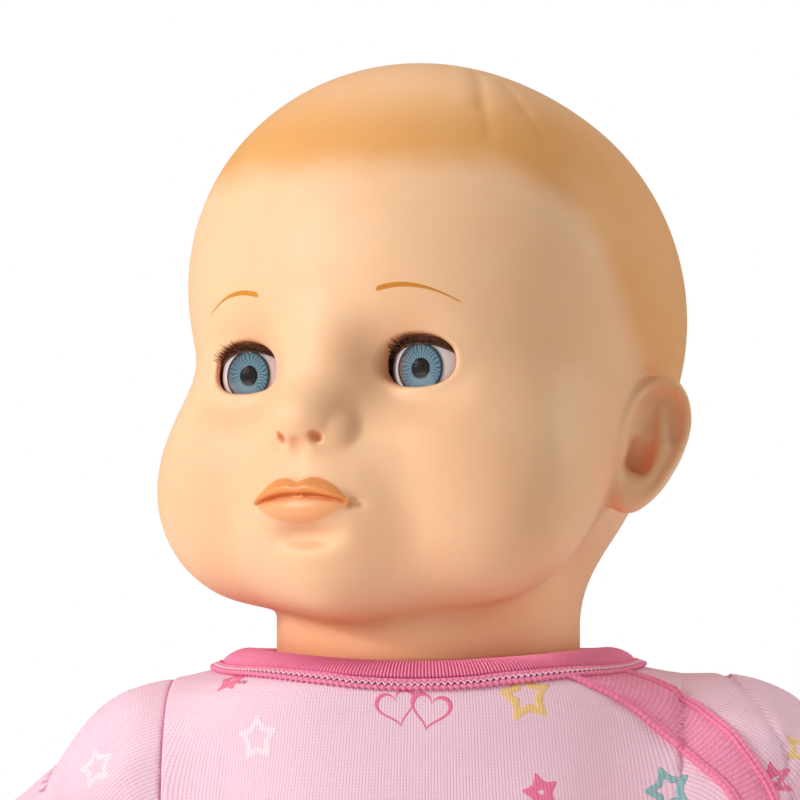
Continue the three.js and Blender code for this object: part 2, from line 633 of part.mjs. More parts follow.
function addSoundModule(group) {
  add(group, 'module_front_case', frontCase(), MATERIAL.plasticCase);
  add(group, 'module_rear_case', rearCase(), MATERIAL.plasticCase);
  add(group, 'battery_door', batteryDoor(), MATERIAL.plasticCase);
  add(group, 'door_screw', doorScrew(), MATERIAL.steel);
  add(group, 'case_screw_lower', caseScrew(POSTS[0]), MATERIAL.steel);
  add(group, 'case_screw_upper', caseScrew(POSTS[1]), MATERIAL.steel);
  add(group, 'circuit_board', circuitBoard(), MATERIAL.board);
  add(group, 'press_switch', pressSwitch(), MATERIAL.black);
  add(group, 'press_plate', pressPlate(), MATERIAL.trim);
  add(group, 'speaker', speaker(), MATERIAL.black);
  add(group, 'battery_1', battery(CELL_X), MATERIAL.cell);
  add(group, 'battery_2', battery(-CELL_X), MATERIAL.cell);
  add(group, 'battery_contact', batteryContact(), MATERIAL.steel);
  add(group, 'power_knob', powerKnob(), MATERIAL.black);
  add(group, 'speaker_wire', speakerWire(), MATERIAL.black);
}

// ---- limbs -----------------------------------------------------------------------------
// Stations of the left limbs: [x, y, z, radius]
const ARM = [
  [...SHOULDER, ARM_R], [62, -0.5, 95, 17.2], [70, -3, 87.5, 16.2], [77.5, -9, 81.5, 15.2],
  [81.5, -18, 77.5, 14.6], [82.5, -28, 75, 13.6], [82.2, -37, 73.4, 11.4], [81.6, -44, 72.6, 9.6],
];
const HAND = [[81.6, -44, 72.6, 9.4], [81, -49, 72, 10.6], [80.2, -56, 71, 11.2],
  [79.2, -63, 69.4, 9.6], [78, -69, 67, 7]];
const THUMB = [[80, -52, 80, 4.6], [77, -58.5, 84, 4.2], [75, -64, 85, 3.6]];
const SLEEVE_CUFF = [[82.35, -31.5, 74.4, 13.6], [82.2, -36, 73.6, 12.6], [81.9, -41, 72.9, 11.4]];
const LEG = [
  [...HIP, LEG_R], [44, -24, 23.6, 20.2], [49.5, -42, 25.6, 19.2], [55.5, -60, 27.2, 17.6],
  [60.5, -76, 26.2, 16.2], [64.5, -92, 23.4, 15.4], [68, -108, 20.2, 13.6],
  [70.4, -120, 18, 11.6],
];
const FOOT = [[70.4, -120, 18, 11.4], [72, -128.5, 17.4, 12], [73.6, -136, 22, 11.4],
  [75.2, -140.5, 31, 10], [76.6, -142.5, 40, 8.6], [77.4, -143, 46, 6]];
const ANKLE_CUFF = [[66.6, -102, 21.4, 14.4], [68.6, -111, 19.8, 13], [70, -117.5, 18.6, 12]];
const SLEEVE_END = -31; // y
const LEGGING_END = -102; // y
const CUFF_GAP = 0.3; // between a cuff and its tube
const KNIT_GAP = 0.5; // between limb and sleeper
const CUFF_FIT = 0.4; // between limb and cuff

const SHOULDER_JOINT = { plane: TORSO_SIDE, centre: SHOULDER_YZ, discR: 13.2, hole: [30, 60] };
const HIP_JOINT = { plane: GUSSET, centre: HIP_YZ, discR: 15.2, hole: [4, 30] };

// Disc that plugs the limb; its post passes the cloth and carries the washer inside the torso.
const jointDisc = (side, { plane, centre, discR }) =>
  sideRod(side, discR, plane + 0.8, plane + 3.6, centre, 14)
    .add(sideRod(side, POST_R, plane - 5.6, plane + 1, centre, 8));

const jointWasher = (side, { plane, centre, hole }) =>
  sideRod(side, WASHER_R, plane - 4.4, plane - 2.2, centre, 12)
    .subtract(sideRod(side, POST_R + 0.35, ...hole, centre, 8));

// Ring round the shoulder axis, out to x = far, that the turning arm must stay out of.
const shoulderRing = (side, radius, far) => sideRod(side, 60, 30, far, SHOULDER_YZ)
  .subtract(sideRod(side, radius, 29, far + 1, SHOULDER_YZ));

// Tube open at the far end, rounded at the joint unless told otherwise.
const tube = (side, path, extra = 0, roundStart = true) =>
  limb(mirrorPath(side, path), 10, { extra, roundStart, roundEnd: false });
const foot = (side, extra = 0) => limb(mirrorPath(side, FOOT), 8, { extra, roundStart: true });
const hollow = (side, path) =>
  limb(mirrorPath(side, path), 8, { extra: -LIMB_WALL, roundStart: true });

// Hollow vinyl, open at the shoulder where the joint disc plugs in.
function arm(side) {
  const outer = tube(side, ARM)
    .add(limb(mirrorPath(side, HAND), 8))
    .add(limb(mirrorPath(side, THUMB), 6, { roundStart: true }))
    .add(sideRod(side, ARM_R - 0.2, TORSO_SIDE + 0.5, 54, SHOULDER_YZ));
  return largest(cutAll(outer.intersect(beyond(side, TORSO_SIDE + 0.5)), [
    hollow(side, ARM.slice(0, 6)).add(sideRod(side, 13.6, 44, 54, SHOULDER_YZ, 14)),
    shoulderRing(side, ARM_R - 0.1, 51.2),
    shoulderRing(side, ARM_R + 1.6, 55.4),
  ]));
}

function sleeve(side) {
  const layer = (path, near, far, extra) => tube(side, path, extra)
    .add(sideRod(side, ARM_R - 0.1 + extra, near, far, SHOULDER_YZ));
  const knit = layer(ARM.slice(0, 7), ARM_PLANE, 54, KNIT_GAP + KNIT)
    .subtract(layer(ARM, 40, 54.5, KNIT_GAP));
  return largest(knit.intersect(beyond(side, ARM_PLANE))
    .subtract(shoulderRing(side, ARM_R + KNIT_GAP + KNIT, 55.4))
    .intersect(box([-200, SLEEVE_END, 0], [200, 60, 200])));
}

function sleeveCuff(side) {
  return largest(tube(side, SLEEVE_CUFF, 1.2, false)
    .subtract(tube(side, ARM, CUFF_FIT, false))
    .intersect(box([-200, -60, 0], [200, SLEEVE_END - CUFF_GAP, 200])));
}

function leg(side) {
  const outer = tube(side, LEG).add(foot(side))
    .add(sideRod(side, LEG_R - 0.2, GUSSET + 0.5, 34, HIP_YZ));
  const inner = hollow(side, LEG.slice(0, 7)).add(sideRod(side, 15.6, 12, 34, HIP_YZ, 14));
  return largest(outer.intersect(beyond(side, GUSSET + 0.5)).subtract(inner));
}

function legging(side) {
  const layer = (path, near, far, extra) => tube(side, path, extra)
    .add(sideRod(side, LEG_R - 0.2 + extra, near, far, HIP_YZ));
  const knit = layer(LEG.slice(0, 7), LEG_PLANE, 34, KNIT_GAP + KNIT)
    .subtract(layer(LEG, 10, 34.5, KNIT_GAP));
  return largest(knit.intersect(beyond(side, LEG_PLANE))
    .intersect(box([-200, LEGGING_END, -40], [200, 60, 200])));
}

function ankleCuff(side) {
  return largest(tube(side, ANKLE_CUFF, 1.3, false)
    .subtract(tube(side, LEG, CUFF_FIT, false))
    .subtract(foot(side, CUFF_FIT))
    .intersect(box([-200, -140, -10], [200, LEGGING_END - CUFF_GAP, 200])));
}

function addLimbs(group, name, side) {
  add(group, `arm_${name}`, arm(side), MATERIAL.skin);
  add(group, `shoulder_disc_${name}`, jointDisc(side, SHOULDER_JOINT), MATERIAL.disc);
  add(group, `shoulder_washer_${name}`, jointWasher(side, SHOULDER_JOINT), MATERIAL.disc);
  add(group, `sleeve_${name}`, sleeve(side), MATERIAL.knit);
  add(group, `sleeve_cuff_${name}`, sleeveCuff(side), MATERIAL.trim);
  add(group, `leg_${name}`, leg(side), MATERIAL.skin);
  add(group, `hip_disc_${name}`, jointDisc(side, HIP_JOINT), MATERIAL.disc);
  add(group, `hip_washer_${name}`, jointWasher(side, HIP_JOINT), MATERIAL.disc);
  add(group, `legging_${name}`, legging(side), MATERIAL.knit);
  add(group, `ankle_cuff_${name}`, ankleCuff(side), MATERIAL.trim);
}

// ---- sleeper ---------------------------------------------------------------------------
// Soft ring that stands on the bodice round the neck: [radius, z]
const COLLAR = [[32.6, 125.4], [36.4, 125.4], [36.8, 127], [35.2, 129.6], [33.4, 129.6],
  [32.6, 128], [32.6, 125.4]];
// Centre line of the wrap binding, from the neckline to the doll's left side: [x, z]
const WRAP_LINE = [[27, 121], [30.5, 117.5], [34, 113], [38.5, 105], [41.8, 95], [43.6, 84],
  [44.2, 73]];
const WRAP_HALF = 4.1; // half width of the binding
// Binding section: [fraction of the half width, height off the bodice]
const WRAP_SECTION = [[-1, 0.7], [0, 0.7], [1, 0.7], [1, 2], [0, 2.1], [-1, 2]];

function bodice() {
  const outer = cutAll(torso(0), legWells(LEG_R + 2.9, LEG_PLANE - 0.4));
  const inner = cutAll(torso(KNIT), legWells(LEG_R + 3.4, GUSSET + 0.3));
  return largest(cutAll(outer.subtract(inner), [
    ...bothRods(ARM_R + 3, 40, 80, SHOULDER_YZ),
    ...bothRods(LEG_R + 1.2, 12, 40, HIP_YZ),
    cylinder('z', 34.6, 108, 140, [0, 0], 20),
  ]));
}

// y of the bodice front at x, z.
function chestY(x, z) {
  let i = 0;
  while (i < SECTIONS.length - 2 && SECTIONS[i + 1][0] < z) i++;
  const [below, above] = [SECTIONS[i], SECTIONS[i + 1]];
  const part = (z - below[0]) / (above[0] - below[0]);
  const [, halfWidth, halfDepth, centreY] = below.map((v, k) => v + (above[k] - v) * part);
  const power = 2 / ROUND;
  const depth = Math.max(0, 1 - Math.abs(x / halfWidth) ** power) ** (1 / power);
  return centreY - halfDepth * depth;
}

// Point standing off the bodice front along its normal.
function chestPoint(x, z, offset) {
  const step = 0.4;
  const slopeX = (chestY(x + step, z) - chestY(x - step, z)) / (2 * step);
  const slopeZ = (chestY(x, z + step) - chestY(x, z - step)) / (2 * step);
  const scale = offset / Math.hypot(slopeX, 1, slopeZ);
  return [x + slopeX * scale, chestY(x, z) - scale, z + slopeZ * scale];
}

// Edge binding of the wrapped front.
function wrapBinding() {
  return loft(WRAP_LINE.map(([x, z], i) => {
    const [fromX, fromZ] = WRAP_LINE[Math.max(0, i - 1)];
    const [toX, toZ] = WRAP_LINE[Math.min(WRAP_LINE.length - 1, i + 1)];
    const length = Math.hypot(toX - fromX, toZ - fromZ);
    const acrossX = (-(toZ - fromZ) / length) * WRAP_HALF * 0.8; // narrowed in X
    const acrossZ = ((toX - fromX) / length) * WRAP_HALF;
    return WRAP_SECTION.map(([k, offset]) => chestPoint(x + acrossX * k, z + acrossZ * k, offset));
  }));
}

// ---- assembly --------------------------------------------------------------------------
const root = new THREE.Group();
root.name = 'baby_doll';
const headTurn = new THREE.Group(); // the neck axis
headTurn.rotation.z = rad(HEAD_TURN);
root.add(headTurn);
const headGroup = new THREE.Group(); // head centre on the eye line
headGroup.position.set(0, HEAD_BACK, EYE_Z);
headTurn.add(headGroup);

add(headGroup, 'head_shell', headShell(), MATERIAL.skin);
SIDES.forEach(([name, side]) => addEye(headGroup, name, side));
add(root, 'neck_casing', lathe(CASING, 20), MATERIAL.cloth);
add(root, 'neck_tie', neckTie(), MATERIAL.tie);
add(root, 'cloth_body', clothBody(), MATERIAL.cloth);
add(root, 'polyfill_stuffing', stuffing(), MATERIAL.stuffing);
add(root, 'seat_pellet_pouch', pelletPouch(), MATERIAL.cloth);
addSoundModule(root);
SIDES.forEach(([name, side]) => addLimbs(root, name, side));
add(root, 'sleeper_bodice', bodice(), MATERIAL.knit);
add(root, 'collar_binding', lathe(COLLAR, 20), MATERIAL.trim);
add(root, 'wrap_binding', wrapBinding(), MATERIAL.trim);

export default root;
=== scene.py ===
# Soft baby doll in a knitted sleeper, sitting on z = 0 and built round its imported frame.
# It faces -y, its left side is +x and +z is up. Lengths are mm until a mesh is made.
# Arms, legs and their clothes are shaped on the doll's left and mirrored to its right.
import itertools
import json
import math

import bpy
import numpy as np
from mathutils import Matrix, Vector


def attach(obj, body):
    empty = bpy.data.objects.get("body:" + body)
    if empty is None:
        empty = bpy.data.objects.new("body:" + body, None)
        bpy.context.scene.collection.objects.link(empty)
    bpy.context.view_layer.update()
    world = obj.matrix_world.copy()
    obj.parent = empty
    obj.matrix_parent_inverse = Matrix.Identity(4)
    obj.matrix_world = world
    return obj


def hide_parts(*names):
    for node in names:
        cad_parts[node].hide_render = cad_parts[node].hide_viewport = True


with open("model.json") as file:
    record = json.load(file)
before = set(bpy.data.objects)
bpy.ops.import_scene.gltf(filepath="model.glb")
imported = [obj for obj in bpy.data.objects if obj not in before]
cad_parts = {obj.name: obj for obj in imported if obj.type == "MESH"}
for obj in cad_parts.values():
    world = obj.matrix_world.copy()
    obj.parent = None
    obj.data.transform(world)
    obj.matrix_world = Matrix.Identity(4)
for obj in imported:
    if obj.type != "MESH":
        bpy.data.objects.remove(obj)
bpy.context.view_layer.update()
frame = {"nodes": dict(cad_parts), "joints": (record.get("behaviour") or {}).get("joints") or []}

# ---- sizes shared with the frame ----
SIDES = (("left", 1), ("right", -1))
EYE_Z = 185.0  # height of the eye line
HEAD_BACK = 3.6  # the head's own origin lies this far behind the neck axis
EYE_R, IRIS_R = 9.5, 4.85
ROLL = {joint["name"]: joint for joint in frame["joints"]}["eye_roll_left"]
HEAD_TURN = math.atan2(ROLL["axis"][1], ROLL["axis"][0])
TURN_COS, TURN_SIN = math.cos(HEAD_TURN), math.sin(HEAD_TURN)
_pivot = np.array(ROLL["pos_m"]) * 1000
EYE_X = _pivot[0] * TURN_COS + _pivot[1] * TURN_SIN
EYE_FORWARD = HEAD_BACK - (-_pivot[0] * TURN_SIN + _pivot[1] * TURN_COS)
GAZE = 0.15  # eye openings and brows are shifted this far to the doll's right
SHOULDER_Z = 102.0
HIP_Y, HIP_Z = -8.0, 22.9


# ---- distance fields: below 0 inside a form, above 0 outside ----
def join(form, other, blend):
    """Union with a rounded joint."""
    near = np.maximum(blend - np.abs(form - other), 0.0) / blend
    return np.minimum(form, other) - near * near * (blend * 0.25)


def meet(form, other, blend):
    """What two forms share, with a rounded edge."""
    return -join(-form, -other, blend)


def cut(form, tool, blend):
    return meet(form, -tool, blend)


def ellipsoid(x, y, z, centre, radii):
    terms = [(v - c, r) for v, c, r in zip((x, y, z), centre, radii)]
    reach = np.sqrt(sum((v / r) ** 2 for v, r in terms))
    steep = np.sqrt(sum((v / r**2) ** 2 for v, r in terms))
    return reach * (reach - 1.0) / np.maximum(steep, 1e-6)


def capsule(x, y, z, start, end, radius, end_radius=None):
    end_radius = radius if end_radius is None else end_radius
    run = np.subtract(end, start)
    dot = (x - start[0]) * run[0] + (y - start[1]) * run[1] + (z - start[2]) * run[2]
    t = np.clip(dot / (run @ run), 0, 1)
    gaps = [v - start[i] - t * run[i] for i, v in enumerate((x, y, z))]
    return np.sqrt(sum(gap**2 for gap in gaps)) - (radius + (end_radius - radius) * t)


def chain(x, y, z, path, extra=0.0, blend=2.0):
    """Limb through the stations of path: x, y, z, radius."""
    dist = None
    for a, b in zip(path, path[1:]):
        link = capsule(x, y, z, a[:3], b[:3], a[3] + extra, b[3] + extra)
        dist = link if dist is None else join(dist, link, blend)
    return dist + blend * 0.2


def sculpt(dist, x, y, z, forms):
    """Joins or cuts ellipsoids: operation, centre, radii, blend."""
    for operation, centre, radii, blend in forms:
        dist = operation(dist, ellipsoid(x, y, z, centre, radii), blend)
    return dist


def ramp(low, high, value):
    t = np.clip((value - low) / (high - low), 0, 1)
    return t * t * (3 - 2 * t)


def bell(value, width):
    return np.exp(-((value / width) ** 2))


def waves(x, y, z, seed, count, shortest, longest):
    """Smooth noise of about -1 to 1: sine waves in fixed random directions."""
    draw = np.random.default_rng(seed)
    total = 0.0
    for _ in range(count):
        way = draw.normal(size=3)
        way *= 2 * math.pi / (np.linalg.norm(way) * draw.uniform(shortest, longest))
        total = total + np.sin(x * way[0] + y * way[1] + z * way[2] + draw.uniform(0, 6.28))
    return total / math.sqrt(count)


# ---- surfaces from fields ----
BLOCK = 18  # grid points sampled at a time along each axis
BLOCK_MARGIN = 7.0  # a block is skipped when the surface is this far outside it
TETRAHEDRON = np.array([[1, -1, -1], [-1, -1, 1], [-1, 1, -1], [1, 1, 1]], float)


def graded(*spans):
    """Grid lines over spans that follow on: from, to, step."""
    lines = []
    for start, end, spacing in spans:
        count = max(1, int(round((end - start) / spacing)))
        lines.extend(np.linspace(start, end, count, endpoint=False))
    return np.array(lines + [spans[-1][1]])


def even_grid(spacing, *spans):
    return [graded((start, end, spacing)) for start, end in spans]


def sampled(field, grid):
    values = np.empty([len(lines) for lines in grid], np.float32)
    for corner in itertools.product(*(range(0, len(lines), BLOCK) for lines in grid)):
        block = tuple(slice(start, start + BLOCK) for start in corner)
        spans = [lines[part] for lines, part in zip(grid, block)]
        middle = [np.array([(span[0] + span[-1]) / 2]) for span in spans]
        dist = float(field(*middle)[0])
        half = 0.5 * math.sqrt(sum((span[-1] - span[0]) ** 2 for span in spans))
        if abs(dist) > half + BLOCK_MARGIN:
            values[block] = dist
            continue
        nodes = np.meshgrid(*spans, indexing="ij")
        values[block] = field(*(node.ravel() for node in nodes)).reshape(nodes[0].shape)
    return values


def cell_points(values, grid, cells):
    """Mean of the places where the surface crosses each cell's edges."""
    total, count = np.zeros((len(cells), 3)), np.zeros(len(cells))
    for axis in range(3):
        others = [k for k in range(3) if k != axis]
        for shift in itertools.product((0, 1), repeat=2):
            start = cells.copy()
            start[:, others] += shift
            end = start.copy()
            end[:, axis] += 1
            at_start, at_end = values[tuple(start.T)], values[tuple(end.T)]
            hit = (at_start < 0) != (at_end < 0)
            t = at_start[hit] / (at_start[hit] - at_end[hit])
            for k in range(3):
                low, high = grid[k][start[hit, k]], grid[k][end[hit, k]]
                total[hit, k] += low + (high - low) * t
            count[hit] += 1
    return total / count[:, None]


def cell_quads(inside, ids):
    """One quad round every grid edge that the surface crosses, facing outward."""
    quads = []
    for axis in range(3):
        sides = [(axis + 1) % 3, (axis + 2) % 3]
        edges = np.argwhere(np.diff(inside, axis=axis))
        place = edges[:, sides]
        within = (place > 0) & (place < np.array(inside.shape)[sides] - 1)
        edges = edges[within.all(1)]
        back_a, back_b = np.eye(3, dtype=int)[sides]
        corners = (edges - back_a - back_b, edges - back_b, edges, edges - back_a)
        quad = np.stack([ids[tuple(corner.T)] for corner in corners], 1)
        inward = ~inside[tuple(edges.T)]
        quad[inward] = quad[inward][:, ::-1]
        quads.append(quad)
    quads = np.concatenate(quads)
    return quads[(quads >= 0).all(1)]


def surface(field, grid, passes=3):
    """Closed quad surface where the field is 0: a point per crossed cell, moved onto the field."""
    values = sampled(field, grid)
    inside = values < 0
    corners = [
        inside[tuple(slice(k, size - 1 + k) for k, size in zip(shift, inside.shape))]
        for shift in itertools.product((0, 1), repeat=3)
    ]
    crossed = np.any(corners, axis=0) & ~np.all(corners, axis=0)
    cells = np.argwhere(crossed)
    ids = np.full(crossed.shape, -1, np.int64)
    ids[crossed] = np.arange(len(cells))
    points = cell_points(values, grid, cells)
    quads = cell_quads(inside, ids)
    for k in range(passes):
        points = onto(field, points)
        if k == 0:
            points = 0.5 * points + 0.5 * neighbour_mean(points, quads)
    return points, [quads]


def neighbour_mean(points, quads):
    a = quads.T.ravel()
    b = np.roll(quads, -1, 1).T.ravel()
    size = len(points)
    count = np.bincount(a, minlength=size) + np.bincount(b, minlength=size)
    sums = [np.bincount(a, v[b], size) + np.bincount(b, v[a], size) for v in points.T]
    return np.stack(sums, 1) / np.maximum(count, 1)[:, None]


def slope(field, points, reach=0.12):
    """Field value and gradient from four samples round each point."""
    gradient, mean = np.zeros_like(points), 0.0
    for corner in TETRAHEDRON:
        value = field(*(points[:, k] + reach * corner[k] for k in range(3)))
        gradient += value[:, None] * corner / (4 * reach)
        mean = mean + value / 4
    return mean, gradient


def onto(field, points, limit=0.8):
    """One step towards the surface, no longer than limit."""
    value, gradient = slope(field, points)
    move = value[:, None] * gradient / np.maximum((gradient * gradient).sum(1), 0.05)[:, None]
    length = np.linalg.norm(move, axis=1)
    return points - move * np.minimum(1, limit / np.maximum(length, 1e-9))[:, None]


# ---- meshes: faces are lists of index arrays, one per face width ----
def mesh_object(name, points, faces, material, **attributes):
    mesh = bpy.data.meshes.new(name)
    mesh.vertices.add(len(points))
    mesh.vertices.foreach_set("co", (np.asarray(points) * 0.001).astype(np.float32).ravel())
    loops = np.concatenate([group.ravel() for group in faces]).astype(np.int32)
    widths = [np.full(len(group), group.shape[1]) for group in faces]
    sizes = np.concatenate(widths).astype(np.int32)
    starts = np.concatenate([[0], np.cumsum(sizes)[:-1]]).astype(np.int32)
    mesh.loops.add(len(loops))
    mesh.loops.foreach_set("vertex_index", loops)
    mesh.polygons.add(len(sizes))
    mesh.polygons.foreach_set("loop_start", starts)
    mesh.polygons.foreach_set("loop_total", sizes)
    mesh.polygons.foreach_set("use_smooth", np.full(len(sizes), True))
    mesh.update(calc_edges=True)
    mesh.validate()
    for key, value in attributes.items():
        value = np.asarray(value, np.float32)
        kind, field = ("FLOAT_VECTOR", "vector") if value.ndim == 2 else ("FLOAT", "value")
        mesh.attributes.new(key, kind, "POINT").data.foreach_set(field, value.ravel())
    ob = bpy.data.objects.new(name, mesh)
    bpy.context.scene.collection.objects.link(ob)
    mesh.materials.append(material)
    return ob


def piece(name, shape, material, body, slot, replaced=None, sharp=False, **attributes):
    """Mesh that rides on a body of the frame; shape is (points, faces)."""
    ob = mesh_object(name, *shape, material, **attributes)
    if sharp:
        ob.data.set_sharp_from_angle(angle=math.radians(48))
    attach(ob, body)
    if replaced:
        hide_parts(replaced)


def flipped(faces):
    return [group[:, ::-1] for group in faces]


def on_side(points, faces, sign):
    """A left-hand shape, mirrored when sign is -1."""
    if sign > 0:
        return points, faces
    return points * np.array([-1.0, 1, 1]), flipped(faces)


def circle(count):
    return np.linspace(0, 2 * math.pi, count, endpoint=False)


def grid_quads(rows, columns, next_row, next_column, width):
    i, j = np.meshgrid(np.arange(rows), np.arange(columns), indexing="ij")
    i, j = i.ravel(), j.ravel()
    i_next, j_next = next_row(i), next_column(j)
    corners = (i * width + j, i * width + j_next, i_next * width + j_next, i_next * width + j)
    return np.stack(corners, 1)


def tube(rings, closed=False):
    """Skin over rings of equal length; unless closed on itself, each end is a fan."""
    size, count = len(rings[0]), len(rings)
    points = np.concatenate(rings)
    rows = count if closed else count - 1
    quads = grid_quads(rows, size, lambda i: (i + 1) % count, lambda j: (j + 1) % size, size)
    if closed:
        return points, [quads]
    points = np.concatenate([points, [rings[0].mean(0)], [rings[-1].mean(0)]])
    here = np.arange(size)
    after = (here + 1) % size
    last = (count - 1) * size
    first_fan = np.stack([np.full(size, len(points) - 2), after, here], 1)
    last_fan = np.stack([np.full(size, len(points) - 1), last + here, last + after], 1)
    return points, [quads, np.concatenate([first_fan, last_fan])]


def unit(vectors):
    return vectors / np.linalg.norm(vectors, axis=1)[:, None]


def frames(path, up=(0, 0, 1)):
    """Unit directions and two sides along a path, carried along without twist."""
    path = np.asarray(path, float)
    along = unit(np.gradient(path, axis=0))
    side = np.zeros_like(path)
    carried = np.array(up, float)
    for i in range(len(path)):
        carried = carried - along[i] * (carried @ along[i])
        carried /= np.linalg.norm(carried)
        side[i] = carried
    return along, side, np.cross(along, side)


def cord(path, radii, sides, up):
    """Round cord along a path."""
    _, u, v = frames(path, up)
    angle = circle(sides)
    cos, sin = np.cos(angle)[:, None], np.sin(angle)[:, None]
    return tube([path[i] + radii[i] * (cos * u[i] + sin * v[i]) for i in range(len(path))])


def joined(parts):
    points, by_width, offset = [], {}, 0
    for part, faces in parts:
        points.append(part)
        for group in faces:
            by_width.setdefault(group.shape[1], []).append(group + offset)
        offset += len(part)
    return np.concatenate(points), [np.concatenate(groups) for groups in by_width.values()]


def lengths_along(path):
    steps = np.linalg.norm(np.diff(path[:, :3], axis=0), axis=1)
    return np.concatenate([[0], np.cumsum(steps)])


def spline(stations, count):
    """Evenly spaced points on a smooth curve through the stations."""
    p = np.asarray(stations, float)
    p = np.concatenate([[2 * p[0] - p[1]], p, [2 * p[-1] - p[-2]]])
    curve = []
    t = np.linspace(0, 1, 40, endpoint=False)[:, None]
    for a, b, c, d in zip(p, p[1:], p[2:], p[3:]):
        bend, twist = 2 * a - 5 * b + 4 * c - d, 3 * b - a - 3 * c + d
        curve.append(0.5 * (2 * b + (c - a) * t + bend * t**2 + twist * t**3))
    curve = np.concatenate(curve + [p[-2][None]])
    run = lengths_along(curve)
    wanted = np.linspace(0, run[-1], count)
    return np.stack([np.interp(wanted, run, column) for column in curve.T], 1)


# ---- shader nodes ----
def rgb(*channels):
    """Linear colour from 0 to 255 sRGB."""
    shares = [c / 255 for c in channels]
    return tuple(c / 12.92 if c <= 0.04045 else ((c + 0.055) / 1.055) ** 2.4 for c in shares) + (1.0,)


def darker(colour, factor):
    return tuple(c * factor for c in colour[:3]) + (1.0,)


class Value:
    """Shader output; sums and products of it add Math nodes."""

    def __init__(self, socket):
        self.socket = socket

    def __add__(self, other):
        return compute("ADD", self, other)

    def __radd__(self, other):
        return compute("ADD", other, self)

    def __sub__(self, other):
        return compute("SUBTRACT", self, other)

    def __rsub__(self, other):
        return compute("SUBTRACT", other, self)

    def __mul__(self, other):
        return compute("MULTIPLY", self, other)


def put(socket, value):
    if isinstance(value, Value):
        socket.id_data.links.new(value.socket, socket)
    else:
        socket.default_value = value


def add_node(tree, kind, inputs=None, **settings):
    node = tree.nodes.new("ShaderNode" + kind)
    for key, value in settings.items():
        setattr(node, key, value)
    for key, value in (inputs or {}).items():
        put(node.inputs[key], value)
    return node


def linked(kind, inputs, **settings):
    """Outputs of a new node in the tree of the values it takes."""
    tree = next(v.socket.id_data for v in inputs.values() if isinstance(v, Value))
    return [Value(output) for output in add_node(tree, kind, inputs, **settings).outputs]


def compute(operation, *values):
    return linked("Math", dict(enumerate(values)), operation=operation)[0]


def band(value, start, end):
    """0 at start, 1 at end, smooth between."""
    return linked("MapRange", {0: value, 1: start, 2: end}, interpolation_type="SMOOTHSTEP")[0]


def mix(share, first, second, kind="MIX"):
    inputs = {0: share, 6: first, 7: second}
    return linked("Mix", inputs, data_type="RGBA", blend_type=kind)[2]


def xyz(vector):
    return linked("SeparateXYZ", {0: vector})


def noise(place, scale, detail=2.0):
    inputs = {"Vector": place, "Scale": scale, "Detail": detail, "Roughness": 0.5}
    return linked("TexNoise", inputs)[0]


def bump(height, depth, strength):
    inputs = {"Height": height, "Distance": depth * 0.001, "Strength": strength}
    return linked("Bump", inputs)[0]


class Material:
    def __init__(self, name):
        self.material = bpy.data.materials.new(name)
        self.material.use_nodes = True
        self.tree = self.material.node_tree
        self.tree.nodes.clear()

    def attribute(self, name, output="Vector"):
        return Value(add_node(self.tree, "Attribute", attribute_name=name).outputs[output])

    def place(self):
        """Object coordinates in mm."""
        metres = Value(add_node(self.tree, "TexCoord").outputs["Object"])
        return linked("VectorMath", {0: metres, "Scale": 1000.0}, operation="SCALE")[0]

    def painted_hollow_shade(self, colour, tint, amount, distance, opened=0.9, closed=0.3, samples=5):
        """Painted shade: colour multiplied by tint where nearby surfaces close it in."""
        node = add_node(self.tree, "AmbientOcclusion", {"Distance": distance}, samples=samples)
        hidden = band(Value(node.outputs["AO"]), opened, closed)
        return mix(hidden * amount, colour, mix(1.0, colour, tint, "MULTIPLY"))

    def done(self, **inputs):
        inputs = {key.replace("_", " "): value for key, value in inputs.items()}
        shader = add_node(self.tree, "BsdfPrincipled", inputs)
        linked("OutputMaterial", {0: Value(shader.outputs[0])})
        return self.material


def plain(name, colour, rough=0.5, metal=0.0, grain=1.2, depth=0.03, dark=0.82):
    """Lightly mottled finish for parts of the frame."""
    mat = Material(name)
    place = mat.place()
    mottle = band(noise(place, grain, 3), 0.3, 0.75)
    return mat.done(
        Base_Color=mix(mottle, colour, darker(colour, dark)),
        Roughness=(rough - 0.06) + noise(place, grain * 0.4) * 0.14,
        Metallic=metal,
        Normal=bump(noise(place, grain * 4, 2), depth, 0.5),
    )


# ---- head: x to the doll's left, y forward, z above the eye line; wide is abs(x) ----
CRANIUM = ((0, -4.33, 13.02), (48.11, 47.9, 49.4))  # centre, radii
SKULL = [  # operation, centre, radii, blend
    (join, (0, 14.43, 21.93), (43.27, 32.35, 39.0), 12),  # forehead
    (join, (0, 9.32, -16.4), (39.8, 36.6, 25.6), 17),  # jaw
    (join, (24.03, 25.93, -21.75), (22.25, 19.63, 22.46), 10.85),  # cheeks
    (join, (0, 40, -34.32), (11, 9.5, 11.51), 11),  # chin
    (join, (0, 27.6, -31.2), (27.0, 18.5, 17.7), 6.5),  # jaw line
    (join, (16.5, -12, -20), (17, 19, 14), 6),  # nape
]
EYE_SOCKET = ((20.5, 52.0, 0.8), (14.5, 11.6, 9.8))
NOSE = [
    (join, (0, 41, -24), (15, 12, 12), 9),  # muzzle
    (join, (0, 42.6, -3.0), (6.6, 6.4, 12), 9),  # bridge
    (join, (0, 50.4, -9.4), (6.3, 5.9, 5.2), 5.5),  # tip
    (join, (5.9, 47.2, -11.9), (3.9, 5.0, 4.3), 1.4),  # wings
    (cut, (3.9, 54.2, -13.6), (1.05, 2.0, 1.0), 0.9),  # nostrils
]
NECK_Z = [112, 115.5, 117.5, 126.2, 129.4, 150]  # world heights
NECK_R = [29, 29, 24, 24, 30.3, 30.3]
SHELL = 3.2  # thickness of the head vinyl
LID_R, BALL_ROOM_R = 10.95, 10.0
